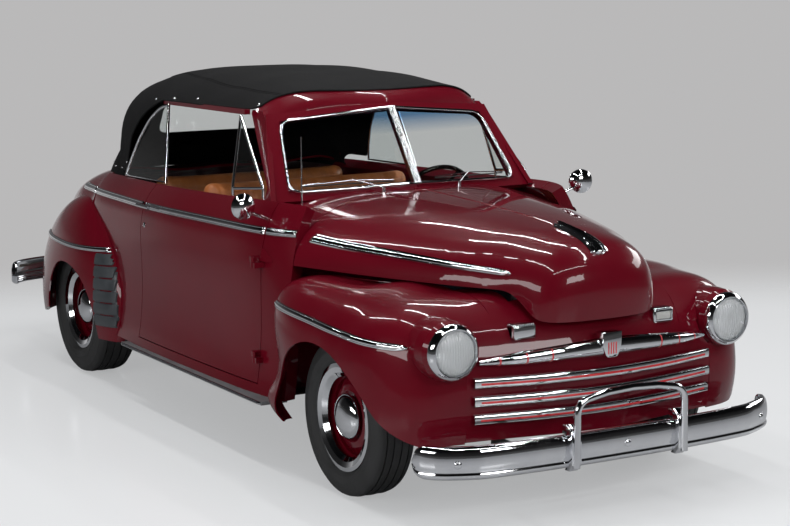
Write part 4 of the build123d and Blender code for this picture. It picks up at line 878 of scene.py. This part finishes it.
# ---------------------------------------------------------------- tail lamps
# Oval lenses of red ribbed glass in chromed rims, low on each side of the tail.
# The rim presses the lens on a gasket and is screwed to the body.
red_lens = finish("red_lens", (0.42, 0.006, 0.008), (0.36, 0.005, 0.007), 0.06, 0.10, scale=15, Coat_Weight=0.6)
ribbed(red_lens, (0, 1, 0), 0.007, 0.002)
dress(["tail_lights"], red_lens)
for side, hand in hands:
    clear_selection()
    bpy.ops.mesh.primitive_torus_add(location=(-2.1685, 0.505 * side, 0.628), rotation=(0, math.pi / 2, 0),
                                     major_radius=0.048, minor_radius=0.006, major_segments=64, minor_segments=12)
    bpy.context.object.scale = (0.66, 1.02, 1)
    complete("tail_rim_" + hand, "body", chrome, 60)

# ---------------------------------------------------------------- bolts, locks and lid handle
# Carriage bolts with domed heads through the bumpers, and the rosettes of the door locks, all turned and plated.
# The deck lid's grip is a bent bar that stands on two posts.


def stud(outline):
    """A small turned piece on the origin, ready to be copied."""
    return lathe(outline, (0, 0, 0), (0, 0, 1), 24, closed=False)


def set_copies(master, name, spots, body, material):
    """Sets a copy of a turned piece, with its own mesh, on each spot."""
    for number, (place, normal) in enumerate(spots):
        activate(master)
        bpy.ops.object.duplicate()
        piece = bpy.context.object
        piece.rotation_mode = "QUATERNION"
        piece.rotation_quaternion = normal.to_track_quat("Z", "Y")
        piece.location = place
        complete("%s_%d" % (name, number), body, material, 50)
    bpy.data.objects.remove(master)


beyond = 3  # distance from the middle that is clear of the car at either end
bolt = [(-0.002, 0.0), (-0.002, 0.0155), (0.001, 0.0155), (0.004, 0.0130), (0.0065, 0.0085), (0.0075, 0.004),
        (0.0078, 0.0)]
front_spots = [touch(blades[0], (beyond, y, z), (-1, 0, 0)) for y, z in ((-0.74, 0.297), (0.0, 0.300), (0.74, 0.297))]
rear_spots = [touch(blades[1], (-beyond, y, 0.405), (1, 0, 0)) for y in (-0.74, 0.0, 0.74)]
set_copies(stud(bolt), "bumper_bolt", front_spots + rear_spots, "body", chrome)
rosette = [(-0.002, 0.0), (-0.002, 0.0125), (0.001, 0.0125), (0.003, 0.010), (0.0035, 0.007), (0.002, 0.0055),
           (0.002, 0.0)]
for side, hand in hands:
    lock_spot = touch("door_" + hand, (-0.345, beside * side, 0.905), (0, -side, 0))
    set_copies(stud(rosette), "door_lock_" + hand, [lock_spot], "door_" + hand, chrome)
handle_place, handle_way = touch("deck_lid", (-beyond, 0, 0.70), (1, 0, 0))
handle_top = handle_place + handle_way * 0.026
for hand, offset in (("right", -0.028), ("left", 0.028)):
    rounded_rod("deck_post_" + hand, "deck_lid", chrome,
                [handle_place + Vector((0.004, offset, 0)), handle_top + Vector((0, offset, 0))], 0.006)
rounded_rod("deck_grip", "deck_lid", chrome,
            [handle_top + Vector((0, -0.060, 0)), handle_place + handle_way * 0.030,
             handle_top + Vector((0, 0.060, 0))], 0.0085, corners=(1,), bend=0.03)

# ---------------------------------------------------------------- mirrors
# Spun brass domes, chromed, each holding a round glass that faces the driver.
# They sit on the doors' arms, which are screwed to the doors.
mirror_glass = finish("mirror_silver", (0.86, 0.88, 0.90), (0.84, 0.86, 0.88), 0.0, 0.02, metallic=1.0)
for side, hand in hands:
    mirror_y, mirror_z = 0.892 * side, 1.128
    face, facing = touch("door_fittings_" + hand, (0.70, mirror_y, mirror_z), (1, 0, 0))
    disc = [(0.0, 0.0), (0.0, 0.054), (-0.0015, 0.0545), (-0.0025, 0.052), (-0.0025, 0.0)]
    lathe(disc, face, -facing, 48, closed=False)
    complete("mirror_glass_" + hand, "door_" + hand, mirror_glass, 30)
    dome = [(-0.001, 0.0), (-0.001, 0.0575), (0.005, 0.0570), (0.016, 0.046), (0.025, 0.024), (0.028, 0.0)]
    lathe(dome, (0.895, mirror_y, mirror_z), Vector((1, -0.2 * side, 0)).normalized(), 48, closed=False)
    complete("mirror_dome_" + hand, "door_" + hand, chrome, 40)

# ---------------------------------------------------------------- cabin trim
# Carpet laid over the floor, and tan hide glued to door boards and sewn over the seats' springs and stuffing.
# The steering wheel is moulded on a steel core, and the seats stand on plinths of board, coloured a dark tan that is
# painted shade under the cushions.
carpet = finish("floor_carpet", (0.030, 0.020, 0.018), (0.016, 0.011, 0.010), 0.9, 0.98, scale=40, grain=(900, 0.002))
dress(["floor_pan"], carpet)
bakelite = finish("dark_moulding", (0.03, 0.018, 0.015), (0.022, 0.014, 0.012), 0.18, 0.28)
dress(["steering_wheel"], bakelite)
leather = finish("tan_leather", (0.46, 0.155, 0.045), (0.36, 0.110, 0.030), 0.38, 0.52, scale=9, grain=(420, 0.0006))
# A much darker copy of the leather's tan for the plinths and the seat shell: painted shade under and behind the
# cushions.
tan_in_painted_shade = finish("seat_base_shaded", (0.10, 0.035, 0.014), (0.06, 0.022, 0.010), 0.7, 0.85, scale=14, grain=(500, 0.0008))


most_swell, pleat_depth = 0.018, 0.007


def stuffed(name, low, high, tilt, face_axis):
    """A sprung cushion: its block is filled like a cover with air in it, then one face is sewn into pleats."""
    clear_selection()
    bpy.ops.mesh.primitive_cube_add(size=1, location=[(a + b) / 2 for a, b in zip(low, high)])
    cushion = bpy.context.object
    cushion.scale = [b - a for a, b in zip(low, high)]
    cushion.rotation_euler = (0, tilt, 0)
    bpy.ops.object.transform_apply(location=False, rotation=False, scale=True)
    edit_all((bpy.ops.mesh.bevel, {"offset": 0.045, "segments": 4, "affect": "EDGES"}))
    modify(cushion, "REMESH", mode="VOXEL", voxel_size=0.011)
    before = [v.co.copy() for v in cushion.data.vertices]
    cloth = cushion.modifiers.new("fill", "CLOTH")
    cloth.settings.use_pressure = True
    cloth.settings.uniform_pressure_force = 4
    cloth.settings.effector_weights.gravity = 0
    for step in range(1, 16):
        bpy.context.scene.frame_set(step)
    bpy.ops.object.modifier_apply(modifier="fill")
    bpy.context.scene.frame_set(1)
    for vertex, start in zip(cushion.data.vertices, before):
        move = vertex.co - start
        if move.length > most_swell:
            vertex.co = start + move.normalized() * most_swell
    wide, spacing = (high[1] - low[1]) / 2, 0.085
    for vertex in cushion.data.vertices:
        out = vertex.normal[face_axis]
        if out > 0.35 and abs(vertex.co.y) / wide < 0.94:
            groove = abs((vertex.co.y / spacing + 0.5) % 1 - 0.5)
            depth = pleat_depth * math.exp(-(groove / 0.10) ** 2) * min(1, (out - 0.35) * 3)
            vertex.co -= Vector(vertex.normal) * depth
    modify(cushion, "SMOOTH", iterations=2)
    return complete(name, "body", leather, 60)


cushions = [  # name, node, low and high corners, lean in radians, axis of its pleated face
    ("front_cushion", "front_seat", (-0.055, -0.580, 0.435), (0.400, 0.580, 0.585), 0.0, 2),
    ("front_backrest", "front_seat", (-0.235, -0.580, 0.610), (-0.125, 0.580, 1.120), -0.209, 0),
    ("rear_cushion", "rear_seat", (-0.770, -0.570, 0.470), (-0.460, 0.570, 0.625), 0.0, 2),
    ("rear_backrest", "rear_seat", (-0.910, -0.560, 0.640), (-0.810, 0.560, 1.090), 0.0, 0),
]
stuffed_pieces = [(stuffed(name, low, high, tilt, axis), node) for name, node, low, high, tilt, axis in cushions]
for cushion, node in stuffed_pieces:
    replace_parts(cushion, node)
rounded_block((-0.058, -0.558, 0.312), (0.378, 0.558, 0.424), 0.012)
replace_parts(complete("front_seat_plinth", "body", tan_in_painted_shade), "front_seat")
rounded_block((-0.786, -0.560, 0.412), (-0.456, 0.560, 0.474), 0.010)
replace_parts(complete("rear_seat_plinth", "body", tan_in_painted_shade), "rear_seat")
rounded_block((-0.262, -0.570, 0.610), (-0.240, 0.570, 0.640), 0.008)
complete("front_seat_shell", "body", tan_in_painted_shade)

board_face = [(-1, 0.001), (-0.97, 0.008), (-0.55, 0.012), (-0.52, 0.008), (-0.49, 0.013), (0.0, 0.015),
              (0.02, 0.010), (0.04, 0.015), (0.5, 0.013), (0.53, 0.008), (0.56, 0.012), (0.97, 0.008), (1, 0.001)]
for side, hand in hands:
    lay_on("door_board_" + hand, "door_" + hand, "door_" + hand, leather,
           [(x, 0.2 * side, 0.700) for x in (-0.350, 0.25, 0.850)], (0.300, 0.300), (0, side, 0), board_face,
           steps=30)

# ---------------------------------------------------------------- instruments
# Two round chrome-rimmed dials with enamelled faces and needles, let into the painted dash.
# A fluted bright panel is screwed on between them.
dial_face = finish("dial_face", (0.60, 0.56, 0.45), (0.52, 0.48, 0.38), 0.4, 0.5, scale=30)
dial_rim = [(0.0, 0.0), (0.0, 0.066), (-0.004, 0.068), (-0.010, 0.064), (-0.010, 0.058), (-0.004, 0.055),
            (-0.004, 0.0)]
dial_plate = [(-0.0035, 0.0), (-0.0035, 0.055), (-0.0055, 0.055), (-0.0055, 0.0)]
for name, y in (("speed_dial", 0.370), ("clock_dial", -0.370)):
    face, _ = touch("dashboard", (0.3, y, 1.010), (1, 0, 0))
    for part, outline, material in (("_rim", dial_rim, chrome), ("_plate", dial_plate, dial_face)):
        lathe(outline, face, (1, 0, 0), 48, closed=False)
        complete(name + part, "body", material, 30)
    rounded_rod(name + "_needle", "body", red_enamel,
                [face + Vector((-0.008, 0, 0)), face + Vector((-0.008, 0.026, 0.034))], 0.0012)
    centre, marks = face + Vector((-0.0060, 0, 0)), 12
    for mark in range(marks):
        turn = math.tau * mark / marks
        way = Vector((0, math.sin(turn), math.cos(turn)))
        rounded_rod("%s_mark_%d" % (name, mark), "body", black_enamel, [centre + way * 0.041, centre + way * 0.051],
                    0.001)
for number in range(9):
    flute, _ = touch("dashboard", (0.3, 0.0, 0.945 + 0.014 * number), (1, 0, 0))
    rounded_rod("dash_flute_%d" % number, "body", chrome, [flute + Vector((0, -0.13, 0)), flute + Vector((0, 0.13, 0))],
                0.0035)

# ---------------------------------------------------------------- soft top
# Heavy black canvas cut in three panels, felled together and bound along its edge.
# It is stretched over four bows from the header to the body, where turned snaps hold it.
# A pane is sewn into its back.
canvas = finish("black_canvas", (0.0065, 0.0065, 0.0070), (0.0035, 0.0035, 0.0040), 0.85, 0.95, scale=5,
                Specular_IOR_Level=0.20)
tree = canvas.node_tree
place = add_node(tree, "TexCoord")
thread_spacing = 0.0016
warp, weft, upright = (
    add_node(tree, "TexWave", {"Vector": place.outputs["Object"], "Scale": band_spacing / thread_spacing},
             bands_direction=direction).outputs["Fac"] for direction in ("X", "Y", "Z"))
crossed = add_node(tree, "Math", {0: warp, 1: weft}, operation="MULTIPLY")
woven = add_node(tree, "Math", {0: crossed.outputs["Value"], 1: upright}, operation="ADD")
bump_from(tree, woven.outputs["Value"], 0.0006)

# angle past upright, half width, radius and roundness of the sections that fan down to the deck,
# and (x, z) of the cloth's edge round the quarter window and over the door
rear_rows = [(0, 0.690, 0.560, 3.6), (12, 0.670, 0.540, 3.6), (24, 0.655, 0.492, 3.4), (42, 0.655, 0.430, 3.0),
             (60, 0.668, 0.432, 2.9), (75, 0.674, 0.492, 2.8), (88, 0.676, 0.572, 2.8)]
window_line = [(-0.890, 0.980), (-0.868, 1.100), (-0.800, 1.300), (-0.700, 1.420), (-0.560, 1.500), (0.900, 1.508)]
fan_x, fan_end, fan_rows = -1.0, 88, 34  # place of the fan's axis, its last angle, and its steps
stops = [0.520 - 0.031 * k for k in range(43)] + [-0.800 - 0.010 * k for k in range(10)] + [-0.91, -0.94, -0.97]
rows = [("crown", at) for at in stops] + [("fan", fan_end * k / fan_rows) for k in range(fan_rows + 1)]
columns, samples = 64, 160


def arch(half_width, height, roundness, angle):
    """A point of a rounded arch, as its place across the car and its height."""
    across = math.copysign(abs(math.cos(angle)) ** (2 / roundness), math.cos(angle))
    return -half_width * across, height * math.sin(angle) ** (2 / roundness)


def cloth_foot(at):
    """The height of the cloth's edge over the quarter window and the door."""
    if at <= window_line[0][0]:
        return belt_z
    for (x0, z0), (x1, z1) in zip(window_line, window_line[1:]):
        if at <= x1:
            return max(belt_z, z0 + (z1 - z0) * (at - x0) / (x1 - x0))


def cloth_row(kind, at):
    """One line of the cloth from its right edge to its left."""
    start = 0.03
    if kind == "crown":
        _, crown, roundness = between(crown_rows, at)
        start = max(start, math.asin(((cloth_foot(at) - belt_z) / (crown - belt_z)) ** (roundness / 2)))
    line = []
    for step in range(samples + 1):
        angle = start + (math.pi - 2 * start) * step / samples
        if kind == "crown":
            x = at
            for _ in range(2):
                half_width, crown, roundness = between(crown_rows, x)
                y, height = arch(half_width, crown - belt_z, roundness, angle)
                x = at - (stops[0] - cloth_front(y)) * max(0.0, (at - 0.10) / 0.42) ** 2
            line.append((x, y, belt_z + height))
        else:
            half_width, radius, roundness = between(rear_rows, at)
            y, height = arch(half_width, radius, roundness, angle)
            lean = math.radians(at)
            line.append((fan_x - height * math.sin(lean), y, belt_z + height * math.cos(lean)))
    return smooth_path(line, columns)


cloth_top = grid(len(rows) - 1, columns)
lines = [cloth_row(kind, at) for kind, at in rows]
for vertex in cloth_top.data.vertices:
    row, column = cell(vertex, len(rows) - 1, columns)
    vertex.co = lines[row][column]
face_towards(cloth_top, (0, 0, 1))
mesh = cloth_top.data
bows = (0.52, 0.10, -0.33, -0.76)
sags = []
for vertex in mesh.vertices:
    x, y, z = vertex.co
    sag = 0.0
    if z > 1.42 and bows[-1] < x < bows[0]:
        for rear, nose in zip(bows[1:], bows):
            if rear <= x <= nose:
                sag = 0.0045 * math.sin(math.pi * (x - rear) / (nose - rear)) ** 2 * min(1, max(0, (z - 1.42) / 0.12))
    pull = 0.0012 * math.sin(x * 21 + y * 9) * math.sin(z * 17 + x * 5) if z < 1.5 and x < -0.4 else 0.0
    sags.append(Vector(vertex.normal) * -(sag + abs(pull)))
for vertex, move in zip(mesh.vertices, sags):
    vertex.co += move
# copies of the cloth: its bound edge, a form to lay seams and snaps on, and the pane cut from it
outline, form, rear_pane = (bpy.data.objects.new(name, mesh.copy()) for name in ("top_binding", "form", "rear_pane"))
for piece in (outline, form, rear_pane):
    bpy.context.scene.collection.objects.link(piece)
for piece in (cloth_top, rear_pane):
    activate(piece)
    modify(piece, "SOLIDIFY", thickness=0.0018, offset=-1)
window = [(-1.15, y, z) for y, z in ((-0.33, 1.26), (0.33, 1.26), (0.33, 1.43), (-0.33, 1.43))]


def window_block():
    """A block through the back of the cloth where its window is."""
    return slab(window, (-0.5, 0, 0), corners=(0, 1, 2, 3), bend=0.06)


trim(rear_pane, window_block(), "INTERSECT")
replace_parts(complete("rear_pane", "body", clear_glass), "rear_window")
trim(cloth_top, window_block())
complete("canvas_top", "body", canvas, 40)
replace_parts(cloth_top, "convertible_top")

activate(outline)
bpy.ops.object.mode_set(mode="EDIT")
bpy.ops.mesh.select_mode(type="EDGE")
bpy.ops.mesh.select_all(action="DESELECT")
bpy.ops.mesh.select_non_manifold()
bpy.ops.mesh.select_all(action="INVERT")
bpy.ops.mesh.delete(type="EDGE_FACE")
bpy.ops.object.mode_set(mode="OBJECT")
bpy.ops.object.convert(target="CURVE")
outline = bpy.context.object
outline.data.bevel_depth = 0.0045
outline.data.bevel_resolution = 3
bpy.ops.object.convert(target="MESH")
complete("top_binding", "body", canvas, 50)

over_top = 1.9  # a height clear of the cloth
seam_face = [(-1, 0.0004), (-0.7, 0.0026), (-0.3, 0.0022), (-0.15, 0.0012), (0.0, 0.0030), (0.15, 0.0012),
             (0.3, 0.0022), (0.7, 0.0026), (1, 0.0004)]
side_seam = [(0.535, 0.455), (0.15, 0.500), (-0.35, 0.475), (-0.80, 0.400), (-1.02, 0.350)]
rear_seam = [(-0.86, -0.45), (-0.875, -0.2), (-0.88, 0), (-0.875, 0.2), (-0.86, 0.45)]
for side, hand in hands:
    lay_on("top_seam_" + hand, form, "body", canvas, [(x, y * side, over_top) for x, y in side_seam], (0.011, 0.011),
           (0, 0, -1), seam_face, steps=90)
lay_on("top_seam_rear", form, "body", canvas, [(x, y, over_top) for x, y in rear_seam], (0.012, 0.012), (0, 0, -1),
       seam_face, steps=60)
snap = [(-0.002, 0.0), (-0.002, 0.0075), (0.0, 0.0075), (0.003, 0.0055), (0.0042, 0.003), (0.0045, 0.0)]
snap_spots = [(-1.222, 1.130), (-1.150, 1.118), (-1.060, 1.118), (-0.960, 1.128), (-0.860, 1.165), (-0.640, 1.497),
              (-0.440, 1.512), (-0.190, 1.522), (0.395, 1.524)]
spots = [touch(form, (x, beside * side, z), (0, -side, 0)) for side in (-1, 1) for x, z in snap_spots]
set_copies(stud(snap), "top_snap", spots, "body", chrome)
bpy.data.objects.remove(form)

# ---------------------------------------------------------------- floor, light and camera
# A pale studio: a smooth painted floor that fades into a grey backdrop, under a sky that lights the car an even grey
# but is painted dark between its lamps where the camera and reflections see it.
# Six tube lamps hang over the car, and three soft banks stand round it.
clear_selection()
bpy.ops.mesh.primitive_plane_add(size=80, location=(0, 0, -0.0005))
ground = bpy.context.object
ground.name = "studio_floor"
to_backdrop = (-0.864, 0.503, 0)  # level direction from the car to the backdrop
ground_paint = new_material("studio_floor", Base_Color=(0.72, 0.73, 0.74, 1), Roughness=0.18, Specular_IOR_Level=0.4)
tree = ground_paint.node_tree
rays = add_node(tree, "LightPath")
# In reflections the floor is mixed half way to near black: painted shade in what the car reflects.
reflected_floor_shade = add_node(tree, "BsdfDiffuse", {"Color": (0.03, 0.03, 0.032, 1)})
glow = add_node(tree, "Emission", {"Color": (0.90, 0.91, 0.92, 1), "Strength": 1.0})
reflection_shade_share = add_node(tree, "Math", {0: rays.outputs["Is Glossy Ray"], 1: 0.50}, operation="MULTIPLY")
painted = tree.nodes["Principled BSDF"]
shaded = add_node(tree, "MixShader", {"Fac": reflection_shade_share.outputs["Value"], 1: painted.outputs["BSDF"],
                                      2: reflected_floor_shade.outputs["BSDF"]})
lift = add_node(tree, "Math", {0: rays.outputs["Is Camera Ray"], 1: 0.42}, operation="MULTIPLY")
lit = add_node(tree, "MixShader", {"Fac": lift.outputs["Value"], 1: shaded.outputs["Shader"],
                                   2: glow.outputs["Emission"]})
place = add_node(tree, "TexCoord")
lean = add_node(tree, "VectorMath", {0: place.outputs["Object"], 1: to_backdrop}, operation="DOT_PRODUCT")
wall_fade = add_node(tree, "MapRange", {"Value": lean.outputs["Value"], "From Min": 2.3, "From Max": 4.6},
                     interpolation_type="SMOOTHSTEP")
length = add_node(tree, "VectorMath", {0: place.outputs["Object"]}, operation="LENGTH")
edge_fade = add_node(tree, "MapRange", {"Value": length.outputs["Value"], "From Min": 7.0, "From Max": 12.0},
                     interpolation_type="SMOOTHSTEP")
fade = add_node(tree, "Math", {0: wall_fade.outputs["Result"], 1: edge_fade.outputs["Result"]}, operation="MAXIMUM")
clear = add_node(tree, "BsdfTransparent")
floor_mix = add_node(tree, "MixShader", {"Fac": fade.outputs["Value"], 1: lit.outputs["Shader"],
                                         2: clear.outputs["BSDF"]})
tree.links.new(floor_mix.outputs["Shader"], tree.nodes["Material Output"].inputs["Surface"])
ground.data.materials.append(ground_paint)

world = bpy.data.worlds.new("studio")
bpy.context.scene.world = world
world.use_nodes = True
tree = world.node_tree
back = tree.nodes["Background"]
back.inputs["Color"].default_value = (0.80, 0.81, 0.83, 1)
back.inputs["Strength"].default_value = 0.50
# What the camera and reflections see of the sky is painted: pale at the horizon, near black overhead, and dimmed
# towards black away from the backdrop, a painted shade in reflections.
place = add_node(tree, "TexCoord")
apart = add_node(tree, "SeparateXYZ", {"Vector": place.outputs["Generated"]})
ramp = add_node(tree, "ValToRGB", {"Fac": apart.outputs["Z"]})
ramp.color_ramp.elements[0].position = 0.0
ramp.color_ramp.elements[0].color = (0.49, 0.485, 0.487, 1)
ramp.color_ramp.elements[1].position = 0.50
ramp.color_ramp.elements[1].color = (0.020, 0.020, 0.022, 1)
ramp.color_ramp.elements.new(0.07).color = (0.15, 0.148, 0.150, 1)
facing = add_node(tree, "VectorMath", {0: place.outputs["Generated"], 1: to_backdrop}, operation="DOT_PRODUCT")
turn = add_node(tree, "MapRange", {"Value": facing.outputs["Value"], "From Min": 0.40, "From Max": 0.85,
                                   "To Min": 0.12}, interpolation_type="SMOOTHSTEP")
sky_with_painted_shade = add_node(tree, "Mix", {"Factor": turn.outputs["Result"], "A": (0, 0, 0, 1), "B": ramp.outputs["Color"]},
               data_type="RGBA")
seen = add_node(tree, "Background", {"Color": sky_with_painted_shade.outputs["Result"], "Strength": 1.0})
rays = add_node(tree, "LightPath")
either = add_node(tree, "Math", {0: rays.outputs["Is Camera Ray"], 1: rays.outputs["Is Glossy Ray"]},
                  operation="MAXIMUM")
any_seen = add_node(tree, "Math", {0: either.outputs["Value"], 1: rays.outputs["Is Transmission Ray"]},
                    operation="MAXIMUM")
pick = add_node(tree, "MixShader", {"Fac": any_seen.outputs["Value"], 1: back.outputs["Background"],
                                    2: seen.outputs["Background"]})
tree.links.new(pick.outputs["Shader"], tree.nodes["World Output"].inputs["Surface"])


def soft_box(name, place, target, width, height, power):
    """A rectangular lamp that faces a place."""
    bpy.ops.object.light_add(type="AREA", location=place)
    lamp = bpy.context.object
    lamp.name = name
    lamp.data.shape = "RECTANGLE"
    lamp.data.size = width
    lamp.data.size_y = height
    lamp.data.energy = power
    lamp.rotation_mode = "QUATERNION"
    lamp.rotation_quaternion = (Vector(target) - Vector(place)).to_track_quat("-Z", "Y")


tube_height, tube_width, tube_power = 4.4, 0.10, 42
tubes = [(2.6, -1.6, 3.6, tube_width), (2.6, 1.7, 3.6, tube_width), (-1.4, -1.7, 3.6, tube_width),
         (-1.4, 1.6, 3.6, tube_width), (5.2, 0.0, tube_width, 4.0), (0.2, 0.1, 2.4, tube_width)]
for number, (x, y, size, size_y) in enumerate(tubes):
    soft_box("tube_%d" % number, (x, y, tube_height), (x, y, 0), size, size_y, tube_power)
soft_box("near_bank", (3.2, -8.5, 3.2), (0.4, 0, 0.7), 7.0, 1.6, 260)
soft_box("far_bank", (0.6, 8.0, 4.0), (0.0, 0, 0.7), 7.0, 1.6, 200)
soft_box("front_bank", (9.0, 1.0, 3.6), (1.6, 0, 0.7), 3.0, 1.6, 150)

eye = bpy.data.cameras.new("camera")
eye.sensor_width = 36
focal_length, frame_width = 1891.8, 790  # in the same unit
eye.lens = focal_length / frame_width * eye.sensor_width
eye.clip_end = 200
camera = bpy.data.objects.new("camera", eye)
bpy.context.scene.collection.objects.link(camera)
# heading, tilt and roll of the camera, which looks along ahead
yaw, pitch, roll = math.radians(149.775), math.radians(-8.817), math.radians(0.410)
ahead = Vector((math.cos(pitch) * math.cos(yaw), math.cos(pitch) * math.sin(yaw), math.sin(pitch)))
camera.location = (8.2147, -4.4034, 2.1328)
camera.rotation_mode = "QUATERNION"
camera.rotation_quaternion = Quaternion(ahead, roll) @ ahead.to_track_quat("-Z", "Y")
bpy.context.scene.camera = camera
bpy.context.scene.view_settings.view_transform = "Standard"
